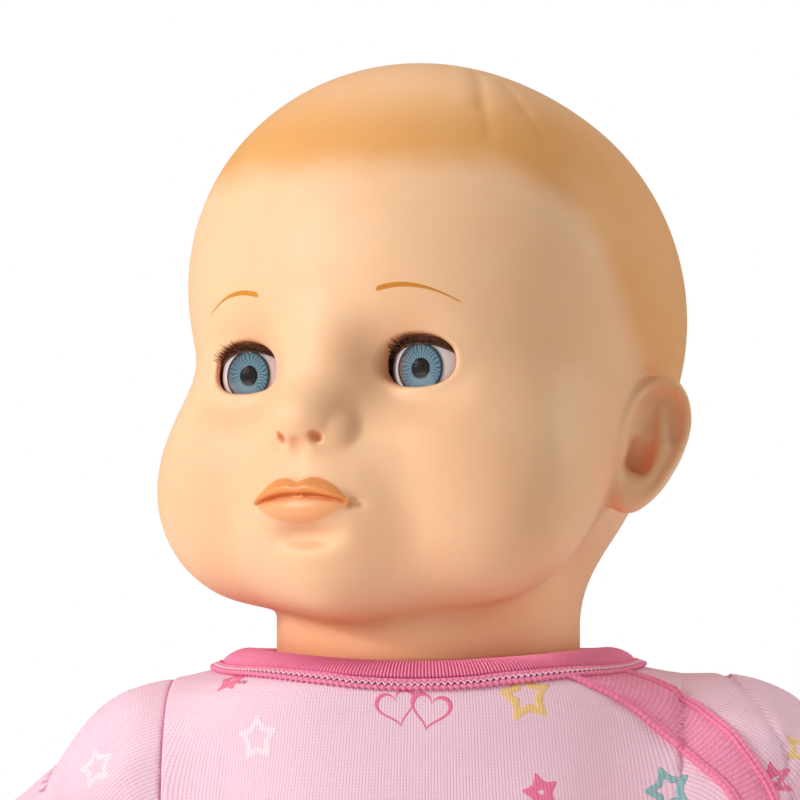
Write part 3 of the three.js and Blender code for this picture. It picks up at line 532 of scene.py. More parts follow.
EAR_AT, EAR_LEAN, EAR_TILT = (42.4, 3.4, -11.4), math.radians(45), math.radians(-20)
RIDGE_WIDTH = 1.5
RIDGES = [  # moulded locks on the scalp: from, to, height
    ((18.2, 15.7, 59.3), (25.1, 25.9, 51.7), -0.33), ((25.1, 25.9, 51.7), (28.9, 30.3, 45.1), -0.24),
    ((23.3, 14.1, 57.2), (30.3, 18.8, 51.2), -0.24), ((30.3, 18.8, 51.2), (35.7, 20.8, 44.8), -0.18),
    ((30.6, 5.0, 52.8), (38.9, 8.2, 44.0), -0.18), ((38.9, 8.2, 44.0), (43.1, 7.1, 37.0), -0.18),
    ((47.6, 8.4, 18.1), (48.1, 0.8, 12.5), -0.18), ((48.1, 0.8, 12.5), (47.6, -8.0, 6.7), -0.21),
    ((45.6, -0.1, 30.7), (47.1, -7.5, 23.1), -0.15), ((13.5, 14.0, 61.0), (21.5, 27.5, 52.6), 0.21),
    ((-6.0, 8.0, 62.5), (-24.0, 18.0, 54.0), -0.15), ((-12.0, -8.0, 61.5), (-34.0, 2.0, 48.5), -0.15),
]


def to_world(points):
    x, y, z = points.T
    y = HEAD_BACK - y
    return np.stack([x * TURN_COS - y * TURN_SIN, x * TURN_SIN + y * TURN_COS, z + EYE_Z], 1)


def skull(wide, y, z):
    return sculpt(ellipsoid(wide, y, z, *CRANIUM), wide, y, z, SKULL)


def head_base(wide, y, z):
    """Skull and neck with the eye sockets pressed in."""
    world_z = z + EYE_Z
    neck = np.sqrt(wide**2 + ((y - HEAD_BACK) / 0.97) ** 2) - np.interp(world_z, NECK_Z, NECK_R)
    neck = np.maximum(neck, z + 30)
    dist = join(skull(wide, y, z), neck, 3.2 + 9.5 * ramp(-8, 14, -y))
    dist = np.maximum(dist, NECK_Z[0] - world_z)
    return cut(dist, ellipsoid(wide, y, z, *EYE_SOCKET), 6)


def face(dist, wide, y, z):
    dist = sculpt(dist, wide, y, z, NOSE)
    philtrum = capsule(wide, y, z, (0, 54.6, -15.6), (0, 56.0, -20.8), 1.9)
    dist = cut(dist, philtrum, 1.4)
    under_lip = ellipsoid(wide, y, z, (0, 53.8, -32.2), (9, 4.4, 2.3))
    dist = cut(dist, under_lip, 3.0)
    upper_z = z + 22.8 + 0.0245 * wide**2 + 0.55 * bell(wide, 1.5)
    dist = join(dist, ellipsoid(wide, y, upper_z, (0, 51.2, 0), (11.2, 3.8, 2.0)), 1.1)
    lower_z = z + 26.8 - 0.01 * wide**2
    dist = join(dist, ellipsoid(wide, y, lower_z, (0, 50.6, 0), (10.0, 3.8, 2.75)), 1.1)
    thin = 0.26  # half height of the line between the lips
    line_y = (y - 55.2 + 0.024 * wide**2) / 1.9
    line_z = (z + 24.3 + 0.0145 * wide**2) / thin
    line = (np.sqrt(line_y**2 + line_z**2 + (wide / 10.4) ** 2) - 1) * thin
    dist = cut(dist, np.maximum(line, wide - 9.6), 1.0)
    dimples = ellipsoid(wide, y, z, (12.3, 51.1, -26.2), (1.9, 0.8, 0.7))
    return cut(dist, dimples, 1.2)


def eye_openings(dist, x, y, z):
    """Lids over each ball, the almond opening and room for the ball."""
    y = y - EYE_FORWARD
    radius = np.sqrt((np.abs(x) - EYE_X) ** 2 + y**2 + z**2)
    dist = join(dist, np.maximum(radius - LID_R, -y), 2.4)
    across = np.abs(x + GAZE) - EYE_X
    upper = (z - 1.0) > 0
    power = np.where(upper, 2.1, 2.5)
    height = np.where(upper, 5.5, 4.55)
    almond = np.abs(across / 7.5) ** power + np.abs((z - 1.0) / height) ** power
    hole = np.maximum((almond ** (1 / power) - 1) * 5.0, 4 - y)
    return cut(cut(dist, hole, 1.0), radius - BALL_ROOM_R, 0.25)


def ear(wide, y, z):
    """Ear in its own plane: along runs back from the front edge, up, and out of the plane."""
    dx, dy, dz = wide - EAR_AT[0], y - EAR_AT[1], z - EAR_AT[2]
    along = dx * math.sin(EAR_LEAN) - dy * math.cos(EAR_LEAN)
    out = dx * math.cos(EAR_LEAN) + dy * math.sin(EAR_LEAN)
    cos, sin = math.cos(EAR_TILT), math.sin(EAR_TILT)
    along, up = along * cos + dz * sin, -along * sin + dz * cos
    out = out - 0.004 * along**2
    half = 6.6 + 1.1 * ramp(-6, 9, up)
    along = along - 5.6
    dist = ellipsoid(along, out, up, (0, 0, 0), (half + 0.8, 2.8, 13.3))
    oval = np.sqrt((along / (half - 1.0)) ** 2 + (up / 11.9) ** 2)
    rim_r = 1.75 - 0.55 * ramp(2, -9, up)
    rim = np.sqrt(((oval - 1) * 9.5) ** 2 + (out - 1.9) ** 2) - rim_r
    dist = join(dist, np.maximum(rim, -6.5 - along), 1.4)
    hollow = ellipsoid(along, out, up, (0.4, 3.6, 4.2), (half - 2.2, 3.1, 7.6))
    dist = cut(dist, hollow, 1.6)
    fold = capsule(along, out, up, (1.0, 0.4, 7.6), (3.2, 1.3, 0.5), 1.2, 1.4)
    lower = capsule(along, out, up, (3.2, 1.3, 0.5), (2.2, 1.2, -6.6), 1.4, 1.2)
    dist = join(dist, join(fold, lower, 1.3), 1.6)  # inner ridge
    return sculpt(dist, along, out, up, [
        (cut, (-1.4, 2.9, -3.2), (3.5, 4.4, 5.2), 1.2),  # bowl
        (join, (-5.3, 1.4, -3.6), (1.7, 2.1, 3.0), 1.4),  # tragus
        (join, (-0.8, 0.4, -9.8), (3.8, 2.4, 3.9), 2.2),  # lobe
    ])


def head_field(x, y, z):
    wide = np.abs(x)
    bore = np.interp(z + EYE_Z, [112, 122, 132], [18, 18, 25])
    bore = np.sqrt(wide**2 + (y - HEAD_BACK) ** 2) - bore + np.maximum(z + 40, 0)
    inner = join(skull(wide, y, z) + SHELL, bore, 3)
    inner = cut(inner, ellipsoid(wide, y, z, *EYE_SOCKET) - SHELL, 4)
    dist = head_base(wide, y, z)
    for start, end, height in RIDGES:
        off = np.maximum(capsule(x, y, z, start, end, 0.0), 0)
        dist = dist - height * bell(off, RIDGE_WIDTH)
    front = (y > 28) & (z > -46) & (z < 15) & (wide < 36)
    if front.any():
        shaped = face(dist[front], wide[front], y[front], z[front])
        dist[front] = eye_openings(shaped, x[front], y[front], z[front])
    at_ear = (wide > 36) & (z > -34) & (z < 8) & (y > -26) & (y < 18)
    if at_ear.any():
        dist[at_ear] = join(dist[at_ear], ear(wide[at_ear], y[at_ear], z[at_ear]), 2.2)
    return np.maximum(dist, -inner)


# ---- vinyl ----
def blush_and_hair(colour, place, wide, y, z):
    dx, dz = wide - 27.0, z + 19.0  # from the cheek's middle
    spread = dx * dx * (1 / 190.0) + dz * dz * (1 / 130.0)
    blush = compute("EXPONENT", spread * -1.0) * band(y, 8.0, 30.0) * 0.16
    colour = mix(blush, colour, rgb(243, 166, 130))
    # painted hair with a soft, uneven edge that drops towards the back
    height = z + noise(place, 0.09, 3) * 5.0
    height = height + band(y, 35.0, -14.0) * 44.0
    edge = 37.0 + band(y, 30.0, 5.0) * -9.0
    hair = band(height, edge, 47.0) * (0.85 + band(y, -15.0, 25.0) * 0.15)
    tint = mix(noise(place, 0.12, 4), rgb(232, 160, 80), rgb(232, 174, 100))
    crown = 1.0 - band(z, 46.0, 60.0) * 0.62  # less hair colour towards the crown
    return mix(hair * ((0.74 + band(y, -10.0, 30.0) * 0.14) * crown), colour, tint)


def brows(colour, x, y, z):
    """One tapered, arched stroke each."""
    wide = compute("ABSOLUTE", x + GAZE)
    middle = 15.7 - compute("POWER", wide - 18.0, 2.0) * 0.034
    half = 0.1 + band(wide, 29.5, 14.5) * 0.38
    off = compute("ABSOLUTE", z - middle)
    inner_end = band(wide + off * -0.6, 12.95, 13.3)
    limits = inner_end * (band(wide, 28.4, 27.6) * band(y, 30.0, 34.0))
    return mix(band(off, half + 0.12, half - 0.06) * limits, colour, rgb(216, 142, 44))


def mouth(colour, x, wide, y, z):
    """Painted lips and the darker line between them; also returns the lip mask."""
    bow = compute("EXPONENT", x * x * (-1 / 2.4))
    far = compute("MAXIMUM", wide - 3.0, 0.0)
    top = -20.85 - bow * 0.85 - far * far * 0.0785
    low = -29.7 + x * x * 0.0347
    between = band(z, top + 0.25, top - 0.3) * band(z, low - 0.35, low + 0.35)
    lips = between * (band(y, 44.0, 47.0) * band(wide, 11.3, 10.5))
    upper = band(z + x * x * 0.0145, -24.7, -23.9)
    paint = mix(upper, rgb(246, 178, 122), rgb(238, 156, 90))
    colour = mix(lips * 0.95, colour, paint)
    off = compute("ABSOLUTE", z + 24.1 + x * x * 0.0145)
    seam = band(off, 0.7, 0.1) * band(wide, 10.9, 7.8) * band(y, 44.0, 47.0)
    return mix(seam * 0.7, colour, rgb(214, 116, 48)), lips


def nostrils(colour, wide, y, z):
    dx, dz = wide - 3.85, z + 13.1
    spot = band(dx * dx + dz * dz, 2.0, 0.3)
    return mix(spot * band(y, 48.0, 50.0) * 0.65, colour, rgb(214, 120, 60))


def vinyl(name, head=False):
    mat = Material(name)
    if head:
        x, y, z = xyz(mat.attribute("hl"))
    place = mat.attribute("hl") if head else mat.place()
    mottle = band(noise(place, 0.055, 3), 0.35, 0.7)
    colour = mix(mottle * 0.16, rgb(253, 207, 164), rgb(247, 180, 131))
    rough = 0.4 + noise(place, 0.35, 2) * 0.14
    if head:
        wide = compute("ABSOLUTE", x)
        colour = blush_and_hair(colour, place, wide, y, z)
        colour = brows(colour, x, y, z)
        colour, lips = mouth(colour, x, wide, y, z)
        colour = nostrils(colour, wide, y, z)
        rough = rough - lips * 0.12
    # painted shade: the skin turns warmer and darker where nearby surfaces close it in
    colour = mat.painted_hollow_shade(
        colour, rgb(238, 176, 150), amount=0.75, distance=0.03, opened=0.95, closed=0.25, samples=6
    )
    grain = noise(place, 1.6, 3) * 0.6 + noise(place, 6.0, 2) * 0.4
    return mat.done(
        Base_Color=colour, Roughness=rough, Normal=bump(grain, 0.035, 0.5), Subsurface_Weight=0.3,
        Subsurface_Radius=(1.0, 0.36, 0.18), Subsurface_Scale=0.003, IOR=1.45,
        Specular_IOR_Level=0.35,
    )


SKIN_HEAD, SKIN = vinyl("vinyl_head", True), vinyl("vinyl_limb")


def build_head():
    """Fine grid lines over the face, coarser ones elsewhere."""
    grid = (
        graded((-56, -33, 0.85), (-33, 33, 0.5), (33, 56, 0.6)),
        graded((-57, 22, 0.95), (22, 60, 0.55)),
        graded((-75, -42, 0.9), (-42, 14, 0.5), (14, 66, 0.95)),
    )
    points, faces = surface(head_field, grid)
    shape = to_world(points), faces
    piece("head_vinyl", shape, SKIN_HEAD, "head", "skin_vinyl", "head_shell", hl=points)


build_head()


# ---- sleep eyes: x left, y forward, z up from the ball's centre ----
def eye_radius(mat):
    """Distance from the forward axis, with the two coordinates across it."""
    x, _, z = xyz(mat.attribute("el"))
    return compute("SQRT", x * x + z * z), x, z


def eye_white_material():
    mat = Material("eye_white")
    shade = band(eye_radius(mat)[0], 4.6, 9.0)
    colour = mix(shade * 0.55, rgb(236, 230, 232), rgb(176, 158, 166))
    mottle = noise(mat.attribute("el"), 0.5, 3) * 0.12
    return mat.done(
        Base_Color=mix(mottle, colour, rgb(226, 196, 196)), Roughness=0.16, IOR=1.5,
        Coat_Weight=0.6, Coat_Roughness=0.05, Subsurface_Weight=0.1, Subsurface_Scale=0.001,
        Normal=bump(noise(mat.attribute("el"), 0.8, 2), 0.02, 0.2),
    )


def iris_material():
    """Printed spokes, a dark outer ring, a ring of dots and the pupil."""
    mat = Material("iris_print")
    radius, x, z = eye_radius(mat)
    angle = compute("ARCTAN2", z, x)
    wobble = compute("SINE", radius * 2.1 + angle * 5.0) * 0.055
    wobble = wobble + compute("SINE", radius * 3.4) * 0.03
    spokes = compute("SINE", (angle + wobble) * 30.0)
    fine = compute("SINE", (angle + wobble * 1.7) * 73.0 + 1.0)
    colour = mix(band(radius, 1.9, 4.6), rgb(108, 144, 159), rgb(88, 121, 138))
    colour = mix(band(fine, 0.1, 0.9) * 0.35, colour, rgb(150, 182, 192))
    streaks = band(spokes, 0.25, 0.95) * (band(radius, 2.1, 3.0) * 0.85)
    colour = mix(streaks, colour, rgb(38, 62, 78))
    colour = mix(band(radius, 4.15, 4.7) * 0.92, colour, rgb(34, 44, 54))
    off_ring = compute("ABSOLUTE", radius - 2.35)
    dots = band(compute("SINE", angle * 26.0), 0.55, 0.85) * band(off_ring, 0.2, 0.08)
    colour = mix(dots, colour, rgb(30, 38, 46))
    colour = mix(band(radius, 2.12, 1.98), colour, rgb(20, 12, 11))
    return mat.done(
        Base_Color=colour, Roughness=0.5, Specular_IOR_Level=0.1, Normal=bump(spokes, 0.02, 0.3)
    )


def cornea_material():
    """Clear, with a weak reflection that grows towards the edge."""
    mat = Material("cornea_clear")
    clear = Value(add_node(mat.tree, "BsdfTransparent").outputs[0])
    rough = 0.03 + noise(mat.place(), 0.4) * 0.02
    shine = linked("BsdfGlossy", {"Roughness": rough})[0]
    edge = Value(add_node(mat.tree, "Fresnel", {"IOR": 1.2}).outputs[0]) * 0.5
    linked("OutputMaterial", {0: linked("MixShader", {0: edge, 1: clear, 2: shine})[0]})
    return mat.material


def lash_material():
    mat = Material("lash_fibre")
    return mat.done(
        Base_Color=mix(noise(mat.place(), 1.5, 3), rgb(34, 20, 14), rgb(122, 76, 44)),
        Roughness=0.45, Normal=bump(noise(mat.place(), 6.0), 0.05, 0.4),
    )


def lid_material():
    mat = Material("lid_vinyl")
    return mat.done(
        Base_Color=mix(noise(mat.place(), 0.3, 3), rgb(238, 190, 150), rgb(220, 160, 120)),
        Roughness=0.45, Subsurface_Weight=0.2, Subsurface_Scale=0.001,
        Normal=bump(noise(mat.place(), 3.0), 0.03, 0.4),
    )


WHITE, IRIS, CORNEA = eye_white_material(), iris_material(), cornea_material()
LASH, LID = lash_material(), lid_material()


def turned(profile):
    """Body turned about the forward axis; profile runs from axis to axis: radius, forward."""
    angle = circle(96)
    cos, sin = np.cos(angle), np.sin(angle)
    rings = [np.stack([r * cos, np.full(96, y), r * sin], 1) for r, y in profile[1:-1]]
    points, faces = tube(rings)
    points[-2], points[-1] = (0, profile[0][1], 0), (0, profile[-1][1], 0)
    return points, faces


def white_shape():
    seat = IRIS_R + 0.12  # edge of the dish that holds the iris
    ball = np.radians(np.linspace(math.degrees(math.asin(seat / EYE_R)), 172, 60))
    dish = [(0, 8.0), (1.6, 7.98), (3.2, 7.99), (4.6, 8.05), (seat, 8.12)]
    back = [(EYE_R * math.sin(a), EYE_R * math.cos(a)) for a in ball]
    return turned(dish + back + [(0, -EYE_R)])


def iris_shape():
    front = [(r, 8.12 + 0.0135 * r * r) for r in np.linspace(0.25, 4.75, 24)]
    back = [(IRIS_R, 8.36), (IRIS_R - 0.1, 8.14), (2.4, 8.04), (0, 8.03)]
    return turned([(0, 8.12)] + front + back)


def cornea_shape():
    rise = 0.42  # stands this far proud of the ball
    radii = np.linspace(0.2, 5.0, 26)
    dome = [(r, math.sqrt(EYE_R**2 - r * r) + rise * (1 - (r / 5.1) ** 2)) for r in radii]
    under = [(r, 8.48 + 0.0135 * (r * r - 23)) for r in np.linspace(4.7, 0.3, 12)]
    return turned([(0, EYE_R + rise)] + dome + [(5.02, 8.04)] + under + [(0, 8.17)])


def ball_strip(inner_r, outer_r, low, high, half, levels, curve):
    """Strip on the ball, elevations low to high in degrees at its middle, reaching x = half."""
    columns = 64
    end = math.asin(min(0.995, half / outer_r))
    share = np.arange(levels) / (levels - 1)
    rings = []
    for i in range(columns):
        turn = -end + 2 * end * i / (columns - 1)
        start = low - curve * (1 - math.cos(turn))
        tilt = np.radians(start + (high - start) * share)
        across, ahead = np.full(levels, math.sin(turn)), math.cos(turn)
        arc = np.stack([across, ahead * np.cos(tilt), ahead * np.sin(tilt)], 1)
        rings.append(np.concatenate([outer_r * arc, inner_r * arc[::-1]]))
    return tube(rings)


LASH_COUNT = 58
rng = np.random.default_rng(11)


def lash(i):
    """One fibre: it leaves the strip forwards, fans outwards and bends up."""
    across = -7.5 + 13.4 * (i + rng.uniform(-0.3, 0.3)) / (LASH_COUNT - 1)
    turn = math.asin(np.clip(across / 9.9, -0.99, 0.99))
    tilt = math.radians(32.0 + rng.uniform(-2.2, 1.6) - 22 * (1 - math.cos(turn)))
    sin, cos = math.sin(turn), math.cos(turn)
    root = 9.7 * np.array([sin, cos * math.cos(tilt), cos * math.sin(tilt)])
    out = np.array([sin * 0.5 + rng.uniform(-0.12, 0.12), 1.0, 0.16 + rng.uniform(-0.12, 0.1)])
    out /= np.linalg.norm(out)
    length = 3.3 + 0.9 * rng.uniform()
    length *= (0.5 + 0.5 * math.cos(turn * 1.3)) * (1 - 0.4 * max(0.0, turn))
    bend = np.array([rng.uniform(-0.2, 0.2), -0.05, 0.38 + rng.uniform(-0.1, 0.1)])
    t = np.linspace(0, 1, 6)[:, None]
    path = root + out * length * t + bend * length * 0.42 * t**2
    return cord(path, np.linspace(0.13, 0.03, 6), 5, up=(1, 0, 0))


def lash_shape():
    strip = ball_strip(9.3, 9.97, low=28.5, high=38.5, half=7.75, levels=10, curve=22)
    return joined([strip] + [lash(i) for i in range(LASH_COUNT)])


def build_eye(side, sign):
    lid = ball_strip(9.15, 9.88, low=38.0, high=128.0, half=7.9, levels=24, curve=16)
    parts = [  # object, shape, material, slot, frame piece, keeps eye coordinates
        ("eye_white", white_shape(), WHITE, "eye_white", "eyeball", True),
        ("iris_disc", iris_shape(), IRIS, "iris_print", "iris", True),
        ("cornea_dome", cornea_shape(), CORNEA, "clear_cornea", "cornea", False),
        ("eyelid_shell", lid, LID, "eyelid_vinyl", "eyelid", False),
        ("lash_strip", lash_shape(), LASH, "lash_fibre", "lashes", False),
    ]
    centre = np.array([sign * EYE_X, EYE_FORWARD, 0.0])
    for name, (points, faces), material, slot, replaced, keeps in parts:
        shape = to_world(points + centre), faces
        extra = {"el": points} if keeps else {}
        piece(f"{name}_{side}", shape, material, "eye_" + side, slot, f"{replaced}_{side}", **extra)


for side, sign in SIDES:
    build_eye(side, sign)

# ---- body forms, in world mm ----
BODY = np.array([  # z, half width, half depth, y of the middle
    [0, 39, 24, 8], [2.5, 46, 31, 6.5], [8, 50, 36.5, 4.5], [16, 52, 40, 2.5], [34, 52.5, 43.5, 0],
    [56, 52, 45.5, -1], [76, 50.6, 44, -1], [98, 50.3, 41.5, 0], [112, 50.2, 39.3, 0],
    [120, 49.8, 38.2, 0], [124, 47.6, 37.6, 0], [126.6, 44.0, 37.0, 0], [128.4, 40.2, 36.2, 0],
    [129.6, 36.6, 35.0, 0], [130.4, 33, 32.6, 0],
], float)
ARM = [  # x, y, z, radius
    [55, 0, 102, 17.4], [62, -0.5, 95, 17.2], [70, -3, 87.5, 16.2], [77.5, -9, 81.5, 15.2],
    [81.5, -18, 77.5, 14.6], [82.5, -28, 75, 13.6], [82.2, -37, 73.4, 11.4], [81.6, -44, 72.6, 9.6],
]
LEG = [
    [40, -8, 22.9, 20], [44, -24, 23.6, 20.2], [49.5, -42, 25.6, 19.2], [55.5, -60, 27.2, 17.6],
    [60.5, -76, 26.2, 16.2], [64.5, -92, 23.4, 15.4], [68, -108, 20.2, 13.6], [70.4, -120, 18, 11.6],
]
ARM_AXIS = [[44, 0, 106]] + ARM
LEG_AXIS = [[30, 4, 22.5]] + LEG
CAP_R = {1: 25.5, -1: 24.3}  # shoulder roundness of the sleeper, left and right
CAP_REACH = {1: 57.0, -1: 50.0}
ARM_BREAK, HIP_BREAK = 50.4, 18.6  # x where the turning sleeves and leggings begin
GAP = 0.05  # each side of the break stands off by this
BODICE_END = ARM_BREAK - GAP
EASE, LINING = 2.35, 0.4  # outside and inside of the knit over the limb stations


def shoulder_radius(y, z):
    return np.sqrt(y**2 + (z - SHOULDER_Z) ** 2)


def hip_radius(y, z):
    return np.sqrt((y - HIP_Y) ** 2 + (z - HIP_Z) ** 2)


def torso(x, y, z):
    level = z - 0.055 * y * ramp(98, 122, z)  # the neckline dips at the front
    half_x, half_y, middle = (np.interp(level, BODY[:, 0], BODY[:, k]) for k in (1, 2, 3))
    oval = (np.abs(x / half_x) ** 2.4 + np.abs((y - middle) / half_y) ** 2.4) ** (1 / 2.4)
    dist = (oval - 1) * np.minimum(half_x, half_y) * 1.02
    return meet(meet(dist, level - 131.5, 3), 1.0 - z, 5)


def well(x, y, z, radius=22.7):
    """Room for a thigh that turns from straight ahead to straight down."""
    front = (z - HIP_Z - radius - 0.305 * (HIP_Y - y)) / 1.045
    back = np.where(z > HIP_Z, hip_radius(y, z) - radius, y - HIP_Y - radius)
    return np.maximum(np.where(y <= HIP_Y, front, back), HIP_BREAK - 0.4 - np.abs(x))


def bodice(x, y, z):
    dist = torso(x, y, z)
    wide = np.abs(x)
    ring = shoulder_radius(y, z) - np.where(x > 0, CAP_R[1], CAP_R[-1])
    dist = join(dist, np.maximum(ring, 26 - wide), 9)  # shoulder of the armhole
    clear = ramp(23.5, 34, shoulder_radius(y, z) + (wide < 38) * 30)
    dist += 0.5 * waves(x, y, z, 3, 7, 22, 48) * ramp(8, 30, z) * (1 - ramp(116, 128, z)) * clear
    # soft pulls running in from the armholes and from the seat
    for sign in (1, -1):
        u = (x * sign - 50) * 0.85 + (z - 78) * 0.5
        v = -(x * sign - 50) * 0.5 + (z - 78) * 0.85
        near = bell(x * sign - 44, 16) * bell(z - 76, 15) * (y < 10)
        dist += 0.55 * near * np.cos(v * 0.62 + 0.05 * u)
    low = bell(z - 44, 12) * ramp(14, 26, wide) * (y < 0)
    dist += 0.6 * low * np.cos((z + 0.35 * wide) * 0.6)
    # the left shoulder meets its sleeve in a true circle, a little inside the sleeve's lap
    lap = ring + 0.3 * (x > 48.75) - 1.2 * np.maximum(0.0, BODICE_END - x)
    lap -= 60 * (1 - ramp(86, 97, z))
    dist = np.where(x > 40, np.maximum(dist, lap), dist)
    end = wide - BODICE_END
    dist = np.where(x > 0, np.maximum(dist, end), meet(dist, end, 0.6))
    return cut(dist, well(x, y, z), 3.5)


def bodice_shell(x, y, z):
    dist = bodice(x, y, z)
    dist = np.maximum(dist, -(dist + 2.0))
    armhole = np.maximum(shoulder_radius(y, z) - 20.6, 40 - np.abs(x))
    neck = np.maximum(np.sqrt(x**2 + (y / 0.97) ** 2) - 34.0, 108 - z)
    return cut(cut(dist, armhole, 0.8), neck, 1.0)


def sleeve(x, y, z, sign):
    dist = chain(x, y, z, ARM[:7], EASE)
    reach = (CAP_REACH[sign], 0, SHOULDER_Z)
    dist = join(dist, capsule(x, y, z, (44, 0, SHOULDER_Z), reach, CAP_R[sign]), 4)
    if sign > 0:
        ring = shoulder_radius(y, z) - CAP_R[1]
        lap = 1.2 * np.maximum(0.0, x - ARM_BREAK)
        dist = np.maximum(dist, ring - lap - 60 * (1 - ramp(86, 97, z)))
    out = ramp(52, 60, x)
    dist += out * 0.45 * waves(x, y, z, 5 + sign, 7, 14, 34)
    elbow = bell(x - 78, 9) * bell(y + 16, 11)
    dist += out * 0.7 * elbow * np.cos((z - 0.9 * y - 0.4 * x) * 0.75)
    dist += 0.5 * bell(y + 29, 6) * np.cos(1.15 * y + 0.25 * z)  # folds at the wrist
    if sign > 0:
        seam = x - (70.8 - 0.00277 * np.abs(z - SHOULDER_Z) ** 2.6)
        return dist + 0.75 * bell(seam, 0.8) * (z > 84) * ramp(51, 55, x)
    return dist + 1.3 * bell(x - 73, 8) * ramp(100, 112, z)


def sleeve_shell(x, y, z, sign):
    bore = shoulder_radius(y, z) - 17.9 + np.maximum(x - 54, 0)
    inner = join(chain(x, y, z, ARM, LINING), bore, 1.0)
    dist = cut(sleeve(x, y, z, sign), inner, 0.6)
    if sign > 0:
        dist = np.maximum(dist, ARM_BREAK - 1.6 - x)
    else:
        dist = meet(dist, ARM_BREAK + GAP - x, 0.6)
    return meet(dist, -31.0 - y, 0.9)


def legging(x, y, z, sign):
    dist = chain(x, y, z, LEG[:7], EASE)
    dist = join(dist, np.maximum(hip_radius(y, z) - 22.2, x - 40), 3)
    out = ramp(20, 30, x) * ramp(-10, -26, y)
    dist += out * 0.55 * waves(x, y, z, 9 + sign, 8, 16, 38)
    fold = bell(y + 66, 16) * ramp(18, 34, z)
    dist += 0.8 * fold * np.cos(0.55 * (y + 0.5 * x))
    return dist + 0.45 * bell(y + 94, 8) * np.cos(0.95 * y + 0.2 * z)


def legging_shell(x, y, z, sign):
    bore = hip_radius(y, z) - 20.3 + np.maximum(x - 40, 0)
    inner = join(chain(x, y, z, LEG, LINING), bore, 1.0)
    dist = cut(legging(x, y, z, sign), inner, 0.5)
    return meet(meet(dist, HIP_BREAK + GAP - x, 0.6), -102.0 - y, 0.9)


# ---- arms and legs in vinyl ----
FINGERS = [  # radius at the knuckle, then the joints from knuckle to tip
    (3.9, [(79.9, -59, 76.2), (78.6, -66, 77.0), (75.6, -72.0, 75.0), (72.6, -73.5, 71.6)]),
    (4.1, [(80.2, -60, 71.8), (78.8, -68.2, 71.6), (75.4, -74.6, 69.4), (71.8, -75.6, 66.2)]),
    (3.9, [(80.0, -60, 67.4), (78.4, -67.6, 66.4), (75.0, -73.4, 64.2), (71.6, -74.2, 61.6)]),
    (3.5, [(79.3, -58.5, 63.2), (77.6, -64.8, 61.6), (74.6, -69.6, 59.6), (71.8, -70.2, 57.6)]),
]
FINGER_TAPER = 0.35  # lost at each joint
THUMB = [(79.8, -52, 79.6), (77.4, -58.6, 83.6), (75.2, -64.0, 84.8)]
ANKLE_AND_SOLE = [
    [70.4, -120, 18, 11.2], [71.8, -129, 15.4, 12.0], [73.4, -136.5, 20.5, 10.8],
    [75.4, -140.5, 30.5, 9.8],
]
TOES = [  # root, tip, radius
    ((72.2, -143.5, 41.0), (72.0, -146.0, 49.0), 4.1), ((76.6, -143.8, 42.6), (76.6, -145.6, 49.4), 3.1),
    ((80.0, -143.2, 42.0), (80.3, -144.8, 48.0), 2.8), ((82.9, -142.2, 40.6), (83.4, -143.6, 45.8), 2.6),
    ((85.3, -140.8, 38.0), (86.0, -142.0, 42.6), 2.4),
]


def hand(x, y, z):
    dist = ellipsoid(x, y, z, (80.6, -53.5, 70.6), (7.8, 12.5, 11.4))  # palm and back
    thumb_ball = ellipsoid(x, y, z, (79.6, -50.5, 77.0), (6.2, 8.5, 5.6))
    dist = join(dist, thumb_ball, 4)
    for radius, path in FINGERS:
        stations = [(*p, radius - FINGER_TAPER * k) for k, p in enumerate(path)]
        finger = None
        for a, b in zip(stations, stations[1:]):
            link = capsule(x, y, z, a[:3], b[:3], a[3], b[3])
            finger = link if finger is None else join(finger, link, 1.0)
        dist = join(dist, finger, 1.3)
        for joint in path[1:3]:
            across = (y - joint[1]) * 0.8 - (x - joint[0]) * 0.6
            near = (np.abs(z - joint[2]) < 4.5) * (finger < 2.0) * (x > joint[0] + 1.0)
            dist += 0.28 * bell(across, 0.7) * near  # crease
    lower = capsule(x, y, z, THUMB[0], THUMB[1], 4.7, 4.2)
    upper = capsule(x, y, z, THUMB[1], THUMB[2], 4.1, 3.5)
    return join(dist, join(lower, upper, 1.5), 2.2)


def arm(x, y, z):
    dist = chain(x, y, z, ARM, -0.3)
    dist = join(dist, np.maximum(shoulder_radius(y, z) - 17.1, x - 55), 2)
    dist = join(dist, hand(x, y, z), 4.5)
    dist += 1.1 * bell((y + 44.6) + 0.1 * (z - 72), 1.5) * ramp(60, 74, x)  # wrist crease
    return meet(dist, 47.6 - x, 0.6)


def foot(x, y, z):
    dist = chain(x, y, z, ANKLE_AND_SOLE, 0.0, 7)
    dist = sculpt(dist, x, y, z, [
        (join, (77.6, -140.8, 38.0), (11.0, 6.4, 9.5), 6),  # ball of the foot
        (join, (72.0, -131.5, 11.6), (9.4, 9.0, 8.4), 5),  # heel
    ])
    for root, tip, radius in TOES:
        dist = join(dist, capsule(x, y, z, root, tip, radius, radius * 0.92), 0.9)
    return dist


def leg(x, y, z):
    dist = chain(x, y, z, LEG, -0.3)
    dist = join(dist, np.maximum(hip_radius(y, z) - 19.6, x - 38), 2)
    dist = join(dist, foot(x, y, z), 5)
    dist += bell((y + 122.5) + 0.5 * (z - 18), 1.6) * (z < 40)  # ankle crease
    return meet(dist, 16.2 - x, 0.6)


# ---- knit and trims ----
ROW = 0.62  # height of a knitted row


